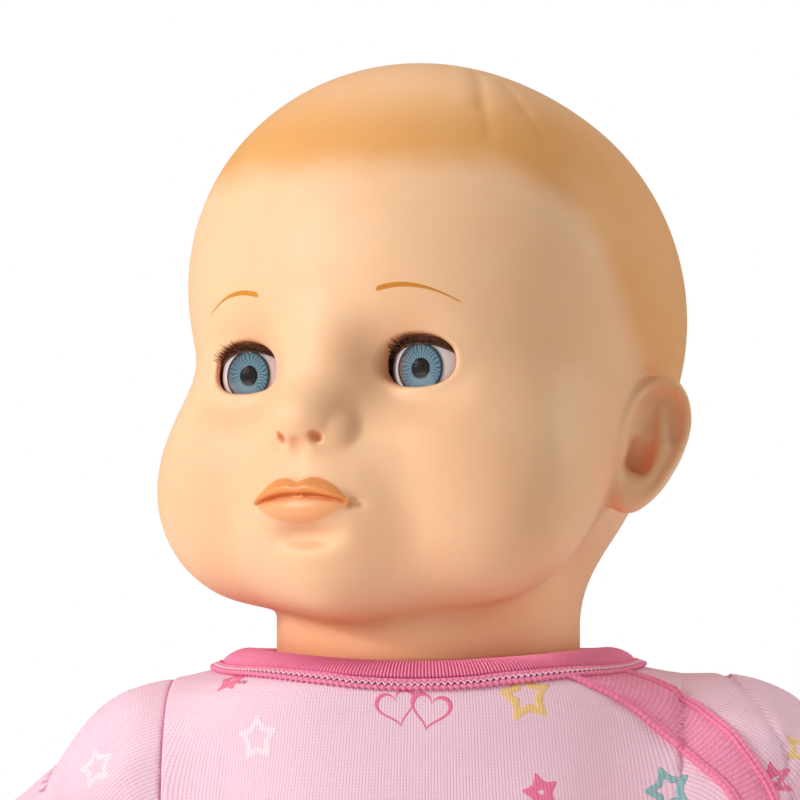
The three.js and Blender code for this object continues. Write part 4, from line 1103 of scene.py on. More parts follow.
def knit(name, colour, wales):
    """Stocking stitch. "kn" holds the offset from the axis (two numbers) and the length along it;
    wales is the number of stitch columns per radian."""
    mat = Material(name)
    a, b, along = xyz(mat.attribute("kn"))
    column = compute("ARCTAN2", a, b) * float(wales)
    # 0 at the middle of a column, 1 at the groove beside it
    across = compute("ARCCOSINE", compute("COSINE", column) * 0.999) * (1 / math.pi)
    row = along * (2 * math.pi / ROW) + noise(mat.place(), 0.5, 2) * 2.0
    stitch = compute("COSINE", row - across * 2.6)
    groove = band(across, 0.55, 0.98)
    gap = groove * band(compute("COSINE", row - 0.9 + noise(mat.place(), 0.8, 1) * 5.0), 0.0, 0.8)
    shade = gap * 0.42 + band(across, 0.3, 1.0) * 0.22
    cloud = band(noise(mat.place(), 0.05, 3), 0.35, 0.7)
    base = mix(cloud * 0.25, colour, darker(colour, 0.93))
    deep = mix(1.0, base, rgb(222, 150, 176), "MULTIPLY")
    fleck = band(noise(mat.place(), 2.6, 2), 0.62, 0.72)
    base = mix(fleck * 0.35, base, rgb(255, 246, 250))
    # painted shade: the knit turns darker where nearby surfaces close it in
    colour = mat.painted_hollow_shade(mix(shade, base, deep), rgb(240, 186, 204), amount=0.6, distance=0.02)
    height = (1.0 - across * across) * 0.7 + stitch * 0.12
    height = height + noise(mat.place(), 3.0, 2) * 0.25
    return mat.done(
        Base_Color=colour, Roughness=0.92, Normal=bump(height, 0.11, 0.8), Sheen_Weight=0.25,
        Sheen_Roughness=0.6, Sheen_Tint=rgb(255, 226, 236), Specular_IOR_Level=0.12,
    )


def trim(name, colour, deep, pattern=None):
    mat = Material(name)
    mottle = band(noise(mat.place(), 1.2, 3), 0.3, 0.75)
    colour = mix(mottle * 0.35, colour, deep)
    height = noise(mat.place(), 2.2, 3) * 0.6
    if pattern == "rib":
        # painted shade: darker in the valleys between the ribs
        colour = mix(band(mat.attribute("rib", "Fac"), 0.5, -0.9), colour, deep)
        along = xyz(mat.attribute("kn"))[2]
        height = height + compute("SINE", along * (2 * math.pi / 0.7)) * 0.3
    if pattern == "mesh":
        u, v, _ = xyz(mat.attribute("kn"))
        pitch = 2 * math.pi / 0.95
        cell = compute("COSINE", u * pitch) * compute("COSINE", v * (pitch * 0.62))
        slant = compute("COSINE", u * (pitch * 2.0) + v * (pitch * 0.62))
        cell = cell + slant * 0.25
        # painted shade: the sunken holes of the mesh are darker
        colour = mix(band(cell, 0.1, 0.75) * 0.8, colour, deep)
        height = height + cell * -0.6
    # painted shade: the trim turns darker where nearby surfaces close it in
    colour = mat.painted_hollow_shade(colour, rgb(226, 150, 180), amount=0.6, distance=0.01)
    return mat.done(
        Base_Color=colour, Roughness=0.85, Normal=bump(height, 0.12, 0.7), Sheen_Weight=0.3,
        Sheen_Roughness=0.5, Sheen_Tint=rgb(255, 210, 226), Specular_IOR_Level=0.2,
    )


PINK = rgb(251, 219, 236)
WALES = {"body": 440, "sleeve": 190, "leg": 186}
KNIT = {part: knit("knit_" + part, PINK, wales) for part, wales in WALES.items()}
RIB = trim("rib_trim", rgb(251, 156, 192), rgb(234, 104, 154), "rib")
CORD = trim("cord_trim", rgb(250, 148, 186), rgb(240, 116, 162))
MESH = trim("mesh_trim", rgb(252, 170, 202), rgb(236, 112, 158), "mesh")
THREAD = trim("white_thread", rgb(253, 214, 228), rgb(244, 160, 190))


def limb_coordinates(points, axis):
    """Offset from the limb's axis in its carried frame, and length along it."""
    curve = spline([station[:3] for station in axis], 90)
    along, u, v = frames(curve)
    run = lengths_along(curve)
    found = np.empty_like(points)
    for k in range(0, len(points), 20000):  # in batches, to bound memory
        batch = points[k : k + 20000]
        i = ((batch[:, None, :] - curve[None]) ** 2).sum(2).argmin(1)
        off = batch - curve[i]
        parts = [(off * u[i]).sum(1), (off * v[i]).sum(1), run[i] + (off * along[i]).sum(1)]
        found[k : k + 20000] = np.stack(parts, 1)
    return found


def bodice_coordinates(points):
    return np.stack([points[:, 0], -(points[:, 1] - 1.0), points[:, 2]], 1)


def snap(points, plane):
    """Flattens an end that lies near the plane x = plane."""
    points = points.copy()
    points[np.abs(points[:, 0] - plane) < 0.4, 0] = plane
    return points


def build_bodice():
    raw, faces = surface(bodice_shell, even_grid(0.92, (-54, 54), (-50, 48), (-1, 134)), 4)
    points = snap(raw, BODICE_END)
    piece("bodice_knit", (points, faces), KNIT["body"], "torso", "sleeper_knit",
          "sleeper_bodice", sharp=True, kn=bodice_coordinates(raw))
    return points


def build_sleeve(side, sign):
    grid = even_grid(0.85, (48, 102), (-34, 28), (54, 130))
    points, faces = surface(lambda x, y, z: sleeve_shell(x, y, z, sign), grid, 4)
    if sign > 0:
        points = snap(points, ARM_BREAK + GAP)
    piece("sleeve_knit_" + side, on_side(points, faces, sign), KNIT["sleeve"], "arm_" + side,
          "sleeper_knit", "sleeve_" + side, sharp=True, kn=limb_coordinates(points, ARM_AXIS))
    return points


def build_legging(side, sign):
    grid = even_grid(0.95, (16, 88), (-105, 18), (-3, 52))
    points, faces = surface(lambda x, y, z: legging_shell(x, y, z, sign), grid, 4)
    piece("legging_knit_" + side, on_side(points, faces, sign), KNIT["leg"], "leg_" + side,
          "sleeper_knit", "legging_" + side, kn=limb_coordinates(points, LEG_AXIS))
    return points


BODICE_POINTS = build_bodice()
SLEEVE_POINTS, LEGGING_POINTS = {}, {}
for side, sign in SIDES:
    SLEEVE_POINTS[side] = build_sleeve(side, sign)
    LEGGING_POINTS[side] = build_legging(side, sign)


def build_limbs():
    """Finer grid lines over the hands and feet."""
    arm_grid = (
        graded((45, 66, 1.0), (66, 100, 0.62)),
        graded((-82, -40, 0.62), (-40, 20, 1.0)),
        graded((52, 92, 0.7), (92, 122, 1.1)),
    )
    leg_grid = (
        graded((14, 62, 1.2), (62, 94, 0.7)),
        graded((-153, -112, 0.66), (-112, 14, 1.2)),
        graded((-2, 56, 0.8)),
    )
    shapes = {"arm": surface(arm, arm_grid, 4), "leg": surface(leg, leg_grid, 4)}
    for side, sign in SIDES:
        for limb, shape in shapes.items():
            body = f"{limb}_{side}"
            piece(f"{limb}_vinyl_{side}", on_side(*shape, sign), SKIN, body, "skin_vinyl", body)


build_limbs()

CUFF_WALL, CUFF_STATIONS = 1.5, 26
CUFFS = [  # name, limb, frame piece, ribs, rib depth, stations: x, y, z, outer radius
    ("sleeve_rib", "arm", "sleeve_cuff", 46, 0.3,
     [[82.35, -31.2, 74.4, 15.7], [82.2, -36, 73.6, 14.4], [82.0, -39, 73.2, 13.6],
      [81.7, -42.6, 72.8, 12.4]]),
    ("ankle_rib", "leg", "ankle_cuff", 52, 0.32,
     [[66.7, -102.2, 21.3, 16.4], [68.6, -110, 20.0, 15.0], [69.3, -114.5, 19.2, 14.4],
      [70.3, -120.6, 18.0, 13.6]]),
]


def ribbed_cuff(stations, ribs, depth):
    """Ribbed tube with rolled ends: shape, rib height and knit coordinates."""
    curve = spline(stations, CUFF_STATIONS)
    _, u, v = frames(curve[:, :3])
    angle = circle(ribs * 8)
    wave = np.cos(angle * ribs)
    rounded = np.abs(wave) ** 0.7 * np.sign(wave)
    share = np.linspace(0, 1, CUFF_STATIONS)
    roll = 0.9 * (1 - np.minimum(1, np.minimum(share / 0.1, (1 - share) / 0.1))) ** 2
    outer = curve[:, 3] - roll + 0.25 * np.sin(share * 3.1)
    inner = curve[:, 3] - CUFF_WALL + 0.25
    order = range(CUFF_STATIONS)
    rows = [(i, outer[i], 1.0, wave) for i in order]
    rows += [(i, inner[i], 0.2, np.ones(len(wave))) for i in reversed(order)]
    cos, sin = np.cos(angle), np.sin(angle)
    rings, rib, knitted = [], [], []
    for i, radius, strength, height in rows:
        radii = (radius + depth * strength * rounded)[:, None]
        rings.append(curve[i, :3] + radii * (cos[:, None] * u[i] + sin[:, None] * v[i]))
        rib.append(height)
        knitted.append(np.stack([cos, sin, np.full(len(wave), share[i] * 12)], 1))
    return tube(rings, closed=True), np.concatenate(rib), np.concatenate(knitted)


for side, sign in SIDES:
    for name, limb, replaced, ribs, depth, stations in CUFFS:
        shape, rib, knitted = ribbed_cuff(stations, ribs, depth)
        piece(f"{name}_{side}", on_side(*shape, sign), RIB, f"{limb}_{side}", "rib_trim",
              f"{replaced}_{side}", rib=rib, kn=knitted)


# ---- trims laid on the cloth ----
def clothes(x, y, z):
    """Bodice and left sleeve together, with the joint between them filled."""
    left = np.where(x > 47.5, sleeve(np.maximum(x, 47.5), y, z, 1), 99.0)
    return np.minimum(bodice(x, y, z), left)


def lie(points, off=0.0, field=clothes, rounds=6):
    """Moves points to the height off over the field's surface."""
    for _ in range(rounds):
        points = onto(lambda x, y, z: field(x, y, z) - off, points, 3.0)
    return points


# ---- neckline band: ribs run over it, chain-stitched rows hold its lower edge ----
COLLAR_RIBS = 372
COLLAR_WIDTH = 6.2
CHAIN_LINKS = 208
COLLAR_PROFILE = [  # share of the way up the band, distance off its middle
    (0.0, 0.55), (0.02, 1.0), (0.1, 1.25), (0.25, 1.35), (0.42, 1.4), (0.6, 1.4), (0.78, 1.35),
    (0.92, 1.15), (1.02, 0.7), (1.06, 0.1), (1.02, -0.5), (0.9, -0.9), (0.6, -0.9), (0.3, -0.9),
    (0.05, -0.9), (0.0, -0.3),
]


class Neckline:
    """Lower and upper edge of the band at evenly spaced angles, from the front."""

    def __init__(self, count):
        self.angle = circle(count)
        self.x, self.y = x, y = np.sin(self.angle), -np.cos(self.angle)
        start = np.stack([x * 40.1, y * 37.2, 127.8 + 1.5 * y], 1)
        self.low = lie(start, 0.0, bodice, 4)
        self.low_normal = unit(slope(bodice, self.low)[1])
        dip = 2.9 * np.where(y < 0, y * y, 0.0)
        self.high = np.stack([x * 33.7, y * 33.3, 131.8 - dip], 1)
        self.high_normal = np.stack([x * 0.7, y * 0.7, 0.71 + 0 * x], 1)

    def at(self, share, out):
        """Points at a share of the way up, below 0 on the cloth; out is off the middle."""
        out = np.asarray(out, float).reshape(-1, 1)
        if share < 0:
            down = unit(self.low - self.high)
            on_cloth = lie(self.low - down * 6.4 * share, 0.0, bodice, 3)
            return on_cloth + self.low_normal * (out - 0.35)
        top = min(1.0, share)
        normal = unit(self.low_normal * (1 - top) + self.high_normal * top)
        flat = self.low * (1 - share) + self.high * share
        return flat + normal * (out + 1.6 * top * (1 - top))


def build_collar():
    line = Neckline(COLLAR_RIBS * 5)
    wave = np.cos(line.angle * COLLAR_RIBS)
    rings, rib, knitted = [], [], []
    for share, out in COLLAR_PROFILE:
        outside = out > 0.3
        rings.append(line.at(share, out + (0.16 * wave if outside else 0.0)))
        rib.append(wave if outside else np.ones(len(wave)))
        along = np.full(len(wave), COLLAR_WIDTH * share)
        knitted.append(np.stack([line.x, line.y, along], 1))
    points, faces = tube(rings, closed=True)
    piece("collar_rib", (points, flipped(faces)), RIB, "torso", "rib_trim", "collar_binding",
          rib=np.concatenate(rib), kn=np.concatenate(knitted))


def chain_row(line, share, out, radius, sway, phase=0.0):
    """Thread round the neckline whose links swell and lean."""
    middle = line.at(share, out)
    lift = line.at(share, out + 1.0) - middle
    across = unit(line.at(share + 0.1, out) - line.at(share - 0.1, out))
    lean = sway * np.cos(line.angle * CHAIN_LINKS + phase)
    middle = middle + across * lean[:, None]
    swell = np.abs(np.sin(line.angle * CHAIN_LINKS / 2 + phase))
    radii = (radius * (0.62 + 0.5 * swell))[:, None]
    rings = [middle + radii * (math.cos(a) * lift + math.sin(a) * across) for a in circle(8)]
    return tube(rings, closed=True)


def build_collar_threads():
    line = Neckline(1512)
    rows = joined([
        chain_row(line, -0.1, out=1.15, radius=0.52, sway=0.12),
        chain_row(line, -0.33, out=0.95, radius=0.46, sway=0.12, phase=1.2),
    ])
    piece("collar_chain", rows, CORD, "torso", "rib_trim")
    thread = chain_row(line, -0.2, out=1.3, radius=0.26, sway=0.3, phase=0.6)
    piece("collar_thread", thread, THREAD, "torso", "rib_trim")


build_collar()
build_collar_threads()

# ---- wrap front: a mesh band between two pairs of cords ----
WRAP_LOWER = [
    (24.0, -30.6, 128.2), (27.7, -29.1, 127.2), (32.9, -28.2, 125.0), (38.5, -26.2, 122.1),
    (42.9, -24.3, 118.6), (53.0, -23.1, 110.0), (60.2, -24.6, 103.0), (60.6, -24.2, 97.0),
    (57.0, -24.0, 91.0), (52.6, -23.0, 85.5), (49.0, -22.0, 80.0), (46.6, -22.5, 73.5),
]
WRAP_UPPER = [
    (36.0, -17.5, 129.2), (38.9, -15.5, 128.3), (45.1, -14.4, 126.2), (53.0, -16.6, 120.9),
    (60.5, -21.0, 114.3), (67.0, -22.1, 105.8), (68.6, -21.7, 99.5), (66.2, -21.0, 92.5),
    (60.4, -19.0, 86.5), (54.6, -16.5, 81.5), (50.6, -14.0, 77.0), (49.6, -13.5, 71.5),
]


def build_wrap():
    rows, columns = 240, 11
    lower, upper = lie(spline(WRAP_LOWER, rows)), lie(spline(WRAP_UPPER, rows))
    for _ in range(60):  # smooth both edges
        for edge in (lower, upper):
            edge[1:-1] = 0.5 * edge[1:-1] + 0.25 * (edge[:-2] + edge[2:])
    share = np.linspace(0, 1, columns)
    t = share[None, :, None]
    sheet = (lower[:, None, :] * (1 - t) + upper[:, None, :] * t).reshape(-1, 3)
    top = lie(sheet, 0.38).reshape(rows, columns, 3)
    under = lie(sheet, -0.5).reshape(rows, columns, 3)
    shape = tube([np.concatenate([top[i], under[i][::-1]]) for i in range(rows)])
    run = lengths_along(0.5 * (lower + upper))
    width = np.linalg.norm(upper - lower, axis=1)
    u = np.repeat(run, 2 * columns)
    v = np.outer(width, np.concatenate([share, share[::-1]])).ravel()
    flat = np.concatenate([np.stack([u, v, 0 * u], 1), np.zeros((2, 3))])  # two cap points
    piece("wrap_mesh", shape, MESH, "torso", "rib_trim", "wrap_binding", kn=flat)

    cords = []
    for edge, sign in ((lower, 1), (upper, -1)):
        inward = sign * (upper - lower) / width[:, None]
        for shift, radius in ((0.0, 0.62), (1.05, 0.5)):
            path = lie(spline(edge + inward * shift, 900), 0.42, rounds=3)
            swell = np.abs(np.sin(lengths_along(path) * math.pi / 1.15))
            cords.append(cord(path, radius * (0.86 + 0.2 * swell), 8, up=(0, -1, 0.3)))
    piece("wrap_cords", joined(cords), CORD, "torso", "rib_trim")


build_wrap()

# ---- printed stars and hearts ----
INKS = {
    "white": rgb(255, 240, 247), "yellow": rgb(252, 218, 146), "teal": rgb(150, 200, 204),
    "rose": rgb(248, 132, 172),
}
INK_PREFIX = {"body": "print_", "sleeve": "print_sleeve_", "leg": "print_leg_"}
INKED = {
    part: {ink: knit(prefix + ink, colour, WALES[part]) for ink, colour in INKS.items()}
    for part, prefix in INK_PREFIX.items()
}
HOLES = {"white": 0.42, "yellow": 0.4, "teal": 0.4, "rose": 0.08}  # share left open in the middle
BODICE_STARS = [  # ink, place, radius, turn
    ("white", (-30.6, -32.9, 114.8), 5.7, 0.1), ("yellow", (20.7, -34.5, 122.6), 6.4, 0.15),
    ("teal", (47.6, -25.4, 104.7), 5.8, 0.35), ("rose", (-36.6, -22.6, 125.9), 4.6, 0.2),
    ("rose", (23.8, -37.7, 104.6), 4.6, 0.25),
]
SLEEVE_STARS = {
    "left": [
        ("rose", (68.0, -21.6, 106.8), 4.4, 0.3), ("yellow", (72.2, -15.0, 111.6), 5.0, 0.8),
        ("white", (62.0, -1.0, 127.0), 5.0, 0.5),
    ],
    "right": [("white", (64.1, -18.9, 109.3), 5.3, -0.45)],
}
HEARTS_AT = (-0.5, -37.4, 119.5)


def star(radius):
    """Outline of a five-pointed star with softened points."""
    k = np.arange(10)
    angle = k * math.pi / 5 + math.pi / 2
    reach = np.where(k % 2 == 0, 1.0, 0.5) * radius
    corners = np.stack([reach * np.cos(angle), reach * np.sin(angle)], 1)
    t = np.linspace(0, 1, 5, endpoint=False)[:, None]
    outline = np.concatenate([a + (b - a) * t for a, b in zip(corners, np.roll(corners, -1, 0))])
    for _ in range(2):
        outline = 0.5 * outline + 0.25 * (np.roll(outline, 1, 0) + np.roll(outline, -1, 0))
    return outline


def heart(radius):
    t = circle(56)
    x = 16 * np.sin(t) ** 3
    y = 13 * np.cos(t) - 5 * np.cos(2 * t) - 2 * np.cos(3 * t) - np.cos(4 * t)
    return np.stack([x, y + 2.5], 1) * radius / 16.0


def printed(outline, hole, place, turn, field, height=0.035):
    """Thin closed print lying on the cloth round a place."""
    centre = lie(np.array([place], float), 0.0, field, 10)
    normal = unit(slope(field, centre)[1])[0]
    up = np.array([0, 0, 1.0]) if abs(normal[2]) < 0.9 else np.array([0, -1.0, 0])
    up = up - normal * (up @ normal)
    up /= np.linalg.norm(up)
    cos, sin = math.cos(turn), math.sin(turn)
    outline = outline @ np.array([[cos, sin], [-sin, cos]])
    spread = outline[:, :1] * np.cross(up, normal) + outline[:, 1:] * up
    sizes = np.linspace(1, hole, 4)
    heights = (height - 0.05, height, height, height - 0.05)
    rings = [lie(centre + k * spread, off, field) for k, off in zip(sizes, heights)]
    rings += [lie(centre + k * spread, -0.25, field) for k in sizes[::-1]]
    points, faces = tube(rings, closed=True)
    a, b, _, c = points[faces[0][0]]
    if np.cross(b - a, c - a) @ normal < 0:
        faces = flipped(faces)
    return points, faces


def placed_stars(stars, field):
    return [(ink, printed(star(radius), HOLES[ink], place, turn, field))
            for ink, place, radius, turn in stars]


def scattered_stars(places, inks, rose_radius, radius, turn, field):
    prints = []
    for i, place in enumerate(places):
        ink = inks[i % len(inks)]
        size, hole = (rose_radius, 0.08) if ink == "rose" else (radius, 0.42)
        prints.append((ink, printed(star(size), hole, place, turn * i, field)))
    return prints


def scatter(points, count, gap, taken, seed):
    """Up to count points that stay gap apart, from each other and from those taken."""
    chosen = []
    for i in np.random.default_rng(seed).permutation(len(points)):
        if all(np.linalg.norm(points[i] - other) > gap for other in taken + chosen):
            chosen.append(points[i])
            if len(chosen) == count:
                break
    return chosen


def add_prints(prints, name, part, body, coordinates, sign=1):
    """One object per ink; name has a place for the ink."""
    for ink in INKS:
        shapes = [shape for used, shape in prints if used == ink]
        if shapes:
            points, faces = joined(shapes)
            piece(name.format(ink), on_side(points, faces, sign), INKED[part][ink], body,
                  "sleeper_knit", kn=coordinates(points))


def print_bodice():
    x, y, z = BODICE_POINTS.T
    free = (np.abs(bodice(x, y, z)) < 0.15) & (z > 24) & (z < 118) & (np.abs(x) < 47)
    free &= ~((y < 0) & (z > 96))  # upper front
    free &= ~((x > 34) & (y < 5) & (z > 64))  # under the wrap band
    free &= well(x, y, z) > 8
    taken = [np.array(entry[1]) for entry in BODICE_STARS] + [np.array(HEARTS_AT)]
    places = scatter(BODICE_POINTS[free], 20, 21.0, taken, 4)
    prints = placed_stars(BODICE_STARS, clothes)
    inks = ["white", "rose", "yellow", "teal", "rose"]
    prints += scattered_stars(places, inks, 4.6, 5.8, 0.9, bodice)
    # two linked hearts under the collar, the left one a little higher off the cloth
    for dx, turn, height in ((-3.0, 0.25, 0.04), (3.2, -0.2, 0.05)):
        place = (HEARTS_AT[0] + dx, HEARTS_AT[1], HEARTS_AT[2] + 0.4 - 0.12 * dx)
        prints.append(("rose", printed(heart(4.1), 0.8, place, turn, bodice, height)))
    add_prints(prints, "print_bodice_{}", "body", "torso", bodice_coordinates)


def print_sleeve(side, sign):
    def field(x, y, z):
        return sleeve(x, y, z, sign)

    pool = SLEEVE_POINTS[side]
    pool = pool[(np.abs(field(*pool.T)) < 0.12) & (pool[:, 0] > 60) & (pool[:, 1] > -25)]
    stars = SLEEVE_STARS[side]
    places = scatter(pool, 6, 19.0, [np.array(entry[1]) for entry in stars], 8 + sign)
    prints = placed_stars(stars, field)
    prints += scattered_stars(places, ["teal", "rose", "white", "yellow"], 4.4, 5.2, 1.1, field)
    add_prints(prints, "print_sleeve_{}_" + side, "sleeve", "arm_" + side,
               lambda points: limb_coordinates(points, ARM_AXIS), sign)


def print_legging(side, sign):
    def field(x, y, z):
        return legging(x, y, z, sign)

    pool = LEGGING_POINTS[side]
    pool = pool[(np.abs(field(*pool.T)) < 0.12) & (pool[:, 1] < -26) & (pool[:, 1] > -94)]
    places = scatter(pool, 11, 20.0, [], 20 + sign)
    inks = ["rose", "white", "teal", "yellow"]
    prints = scattered_stars(places, inks, 4.4, 5.4, 0.8, field)
    add_prints(prints, "print_leg_{}_" + side, "leg", "leg_" + side,
               lambda points: limb_coordinates(points, LEG_AXIS), sign)


print_bodice()
for side, sign in SIDES:
    print_sleeve(side, sign)
    print_legging(side, sign)


# ---- stuffed body inside the sleeper ----
POUCH_AT = (0, 22.5, 10.5)


def fabric(name, colour, deep, weave=0.5, depth=0.08):
    mat = Material(name)
    x, y, z = xyz(mat.place())
    pitch = 2 * math.pi / weave
    threads = compute("SINE", (x + y * 0.6) * pitch) * compute("SINE", z * pitch)
    mottle = band(noise(mat.place(), 0.4, 3), 0.3, 0.75)
    return mat.done(
        Base_Color=mix(mottle * 0.5, colour, deep), Roughness=0.9, Sheen_Weight=0.2,
        Normal=bump(threads * 0.5 + noise(mat.place(), 1.5, 3), depth, 0.6),
    )


CLOTH = fabric("body_cloth", rgb(240, 214, 188), rgb(226, 194, 164))
FIBRE = fabric("polyester_fibre", rgb(248, 247, 243), rgb(232, 230, 226), weave=3.0, depth=0.4)


def bag(x, y, z, inset):
    """Torso set in by inset, clear of the shoulders, thighs and neck."""
    dist = torso(x, y, z + 3.5 * ramp(100, 125, z)) + inset
    dist = cut(dist, np.maximum(shoulder_radius(y, z) - 19.0, 47.2 - np.abs(x)), 2)
    dist = cut(dist, well(x, y, z, 25.2 + 0.4 * inset), 3)
    dist = meet(dist, z - 123.5 + inset, 2)
    return dist + 0.25 * waves(x, y, z, 21, 6, 8, 20)


def bag_shell(x, y, z):
    dist = bag(x, y, z, 3.2)
    dist = np.maximum(dist, -(dist + 1.9))
    return cut(dist, np.maximum(np.sqrt(x**2 + y**2) - 30.6, 106 - z), 0.5)


def filling(x, y, z):
    """Stuffing with hollows for the neck, the box in the middle and the pouch."""
    dist = bag(x, y, z, 6.0) + 0.6 * waves(x, y, z, 31, 9, 6, 16)
    dist = cut(dist, np.maximum(np.sqrt(x**2 + y**2) - 34.0, 102.6 - z), 1.5)
    box = np.maximum(np.abs(x) - 21.8, -24.0 - y)
    dist = cut(dist, np.maximum(box, np.maximum(47.8 - z, z - 102.8)), 1.2)
    return cut(dist, ellipsoid(x, y, z, POUCH_AT, (15.5, 10.4, 6.4)), 1)


def pouch(x, y, z):
    dist = ellipsoid(x, y, z, POUCH_AT, (13.6, 8.6, 4.7))
    return dist + 0.35 * waves(x, y, z, 41, 8, 3.0, 5.5)


def build_stuffing():
    shape = surface(bag_shell, even_grid(1.15, (-52, 52), (-48, 48), (2, 126)))
    piece("cloth_bag", shape, CLOTH, "torso", "body_cloth", "cloth_body")
    shape = surface(filling, even_grid(1.6, (-50, 50), (-44, 44), (4, 120)))
    piece("fibre_filling", shape, FIBRE, "torso", "polyester_fill", "polyfill_stuffing")
    shape = surface(pouch, even_grid(0.6, (-15, 15), (12, 33), (4, 17)))
    piece("pellet_pouch", shape, CLOTH, "torso", "body_cloth", "seat_pellet_pouch")


GATHER_PROFILE = [  # radius, z, pleat depth
    (24.7, 119.0, 0.05), (25.4, 119.0, 0.2), (25.9, 120.0, 0.28), (25.5, 122.0, 0.12),
    (25.9, 124.0, 0.28), (25.7, 125.0, 0.3), (24.8, 125.0, 0.05), (24.6, 122.0, 0.02),
]


def build_neck():
    """Gathered neck casing and the cord tied round it."""
    angle = circle(480)
    cos, sin = np.cos(angle), np.sin(angle)
    rings = []
    for radius, z, pleat in GATHER_PROFILE:
        radii = radius + pleat * np.cos(angle * 44)
        rings.append(np.stack([radii * cos, radii * 0.98 * sin, np.full(len(angle), z)], 1))
    points, faces = tube(rings, closed=True)
    shape = points, flipped(faces)
    piece("neck_gather", shape, CLOTH, "neck_socket", "body_cloth", "neck_casing")

    rings = []
    for a in circle(10):
        thick = 0.72 * (1 + 0.06 * np.cos(angle * 150 + a * 2))
        out = thick * math.cos(a)
        up = 122.0 + 1.5 * thick * math.sin(a)
        rings.append(np.stack([(26.95 + out) * cos, (26.6 + out) * sin, up], 1))
    points, faces = tube(rings, closed=True)
    finish = plain("neck_cord_finish", rgb(232, 232, 228), rough=0.55, grain=0.8, depth=0.05)
    shape = points, flipped(faces)
    piece("neck_cord", shape, finish, "neck_socket", "white_plastic", "neck_tie")


build_stuffing()
build_neck()

# ---- frame parts that stay ----
FINISHES = [  # name, colour, settings, starts of the names of the parts that wear it
    ("steel", (176, 180, 184), {"rough": 0.3, "metal": 1.0},
     ("eye_weight", "eye_axle", "door_screw", "case_screw", "battery_contact")),
    ("white_plastic", (238, 237, 230), {"rough": 0.42}, ("eye_cup", "shoulder", "hip")),
    ("module_plastic", (222, 226, 230), {"rough": 0.45, "grain": 2.0, "depth": 0.05},
     ("module", "battery_door")),
    ("circuit_board", (38, 104, 66), {"rough": 0.4, "grain": 0.7}, ("circuit_board",)),
    ("black_plastic", (40, 40, 43), {"grain": 2.0, "depth": 0.05, "dark": 0.7},
     ("press_switch", "speaker", "power_knob")),
    ("pink_plastic", (232, 120, 168), {"rough": 0.45}, ("press_plate",)),
    ("battery_jacket", (150, 112, 52), {"rough": 0.3, "metal": 0.7}, ("battery_1", "battery_2")),
]
for name, colour, settings, starts in FINISHES:
    finish = plain(name + "_finish", rgb(*colour), **settings)
    for node, ob in frame["nodes"].items():
        if node.startswith(starts):
            ob.data.materials.clear()
            ob.data.materials.append(finish)


# ---- floor, light, camera ----
def build_floor():
    mat = Material("floor_paper")
    tone = mix(noise(mat.place(), 0.01, 2), rgb(250, 248, 247), rgb(244, 243, 243))
    paper = mat.done(Base_Color=tone, Roughness=0.9)
    count, half, z = 40, 3000, -0.3
    lines = np.linspace(-1, 1, count + 1) * half
    x, y = np.meshgrid(lines, lines, indexing="ij")
    points = np.stack([x.ravel(), y.ravel(), np.full(x.size, z)], 1)
    quads = grid_quads(count, count, lambda i: i + 1, lambda j: j + 1, count + 1)
    upward = quads[:, [0, 3, 2, 1]]
    mesh_object("floor", points, [upward], paper)


def build_world():
    """White to the camera, dim and warm as a light."""
    world = bpy.data.worlds.new("studio")
    bpy.context.scene.world = world
    world.use_nodes = True
    tree = world.node_tree
    tree.nodes.clear()
    seen = add_node(tree, "Background", {"Color": (1, 1, 1, 1), "Strength": 1.0})
    lit = add_node(tree, "Background", {"Color": (1.0, 0.95, 0.92, 1), "Strength": 0.235})
    camera_ray = Value(add_node(tree, "LightPath").outputs["Is Camera Ray"])
    shaders = {0: camera_ray, 1: Value(lit.outputs[0]), 2: Value(seen.outputs[0])}
    linked("OutputWorld", {0: linked("MixShader", shaders)[0]})


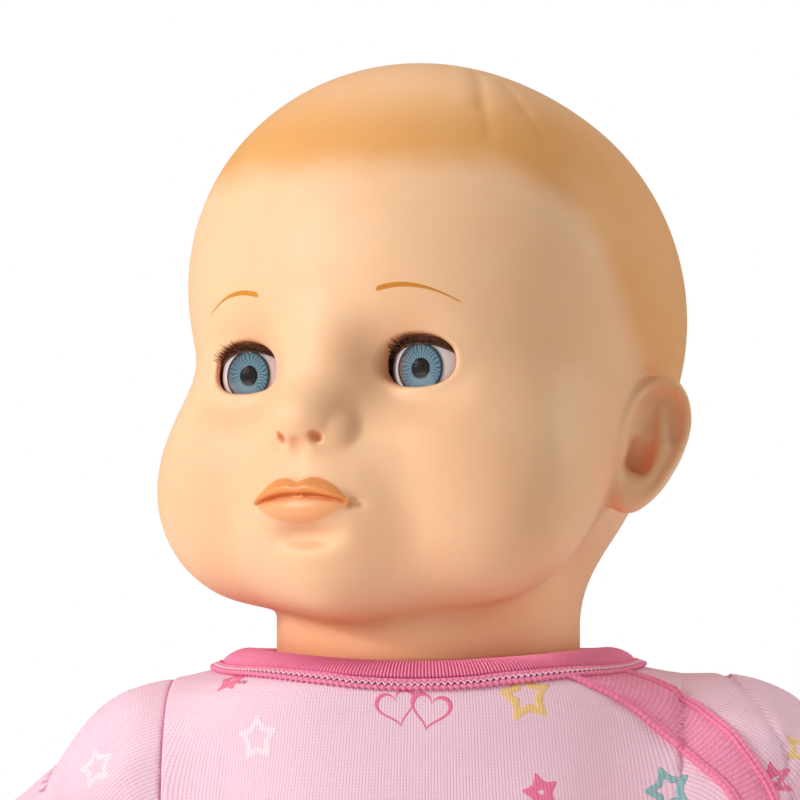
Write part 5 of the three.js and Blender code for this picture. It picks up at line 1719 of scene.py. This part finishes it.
def stand(name, data, place, back):
    """Object at a place in metres, whose back (+z) points along back."""
    ob = bpy.data.objects.new(name, data)
    bpy.context.scene.collection.objects.link(ob)
    ob.location = place
    ob.rotation_mode = "QUATERNION"
    ob.rotation_quaternion = Vector(back).to_track_quat("Z", "Y")
    return ob


LAMPS = [  # name, place, target, size (all in m), power, colour
    ("key", (-0.84, -0.58, 0.5), (0, 0, 0.17), 0.42, 6.4, (1.0, 0.97, 0.95)),
    ("spark", (-0.86, -0.5, 0.62), (0, 0, 0.18), 0.075, 2.0, (1.0, 0.98, 0.96)),
    ("top", (-0.1, 0.15, 0.95), (0, 0, 0.17), 0.7, 1.9, (1.0, 0.98, 0.95)),
    ("side", (0.85, 0.1, 0.6), (0, 0, 0.19), 0.5, 3.0, (1.0, 0.93, 0.86)),
]


def build_lights():
    for name, place, target, size, power, colour in LAMPS:
        light = bpy.data.lights.new(name, "AREA")
        light.shape = "DISK"
        light.size = size
        light.energy = power
        light.color = colour
        stand(name, light, place, Vector(place) - Vector(target))
    spot = bpy.data.lights.new("cloth_fill", "SPOT")
    spot.energy = 11.0
    spot.color = (1.0, 0.97, 0.97)
    spot.spot_size = math.radians(6.6)
    spot.spot_blend = 0.6
    spot.shadow_soft_size = 0.05
    place, target = (0.5, -0.85, 0.03), (0.035, -0.02, 0.072)
    stand("cloth_fill", spot, place, Vector(place) - Vector(target))


def build_camera():
    azimuth, elevation, distance = math.radians(4), math.radians(-4), 900.0
    shift_right, shift_up = -7.4, -2.94  # from the head's origin
    level = math.cos(elevation)
    back = np.array([
        math.sin(azimuth) * level, -math.cos(azimuth) * level, math.sin(elevation)
    ])
    right = np.array([math.cos(azimuth), math.sin(azimuth), 0.0])
    up = np.cross(right, -back)
    centre = to_world(np.zeros((1, 3)))[0]
    place = (centre + shift_right * right + shift_up * up + distance * back) * 0.001
    camera = bpy.data.cameras.new("camera")
    camera.sensor_width = 36.0
    camera.lens = 202.5
    camera.clip_start = 0.01
    camera.clip_end = 50
    bpy.context.scene.camera = stand("camera", camera, Vector(place), back)


build_floor()
build_world()
build_lights()
build_camera()
bpy.context.scene.view_settings.view_transform = "Standard"

bpy.context.view_layer.update()
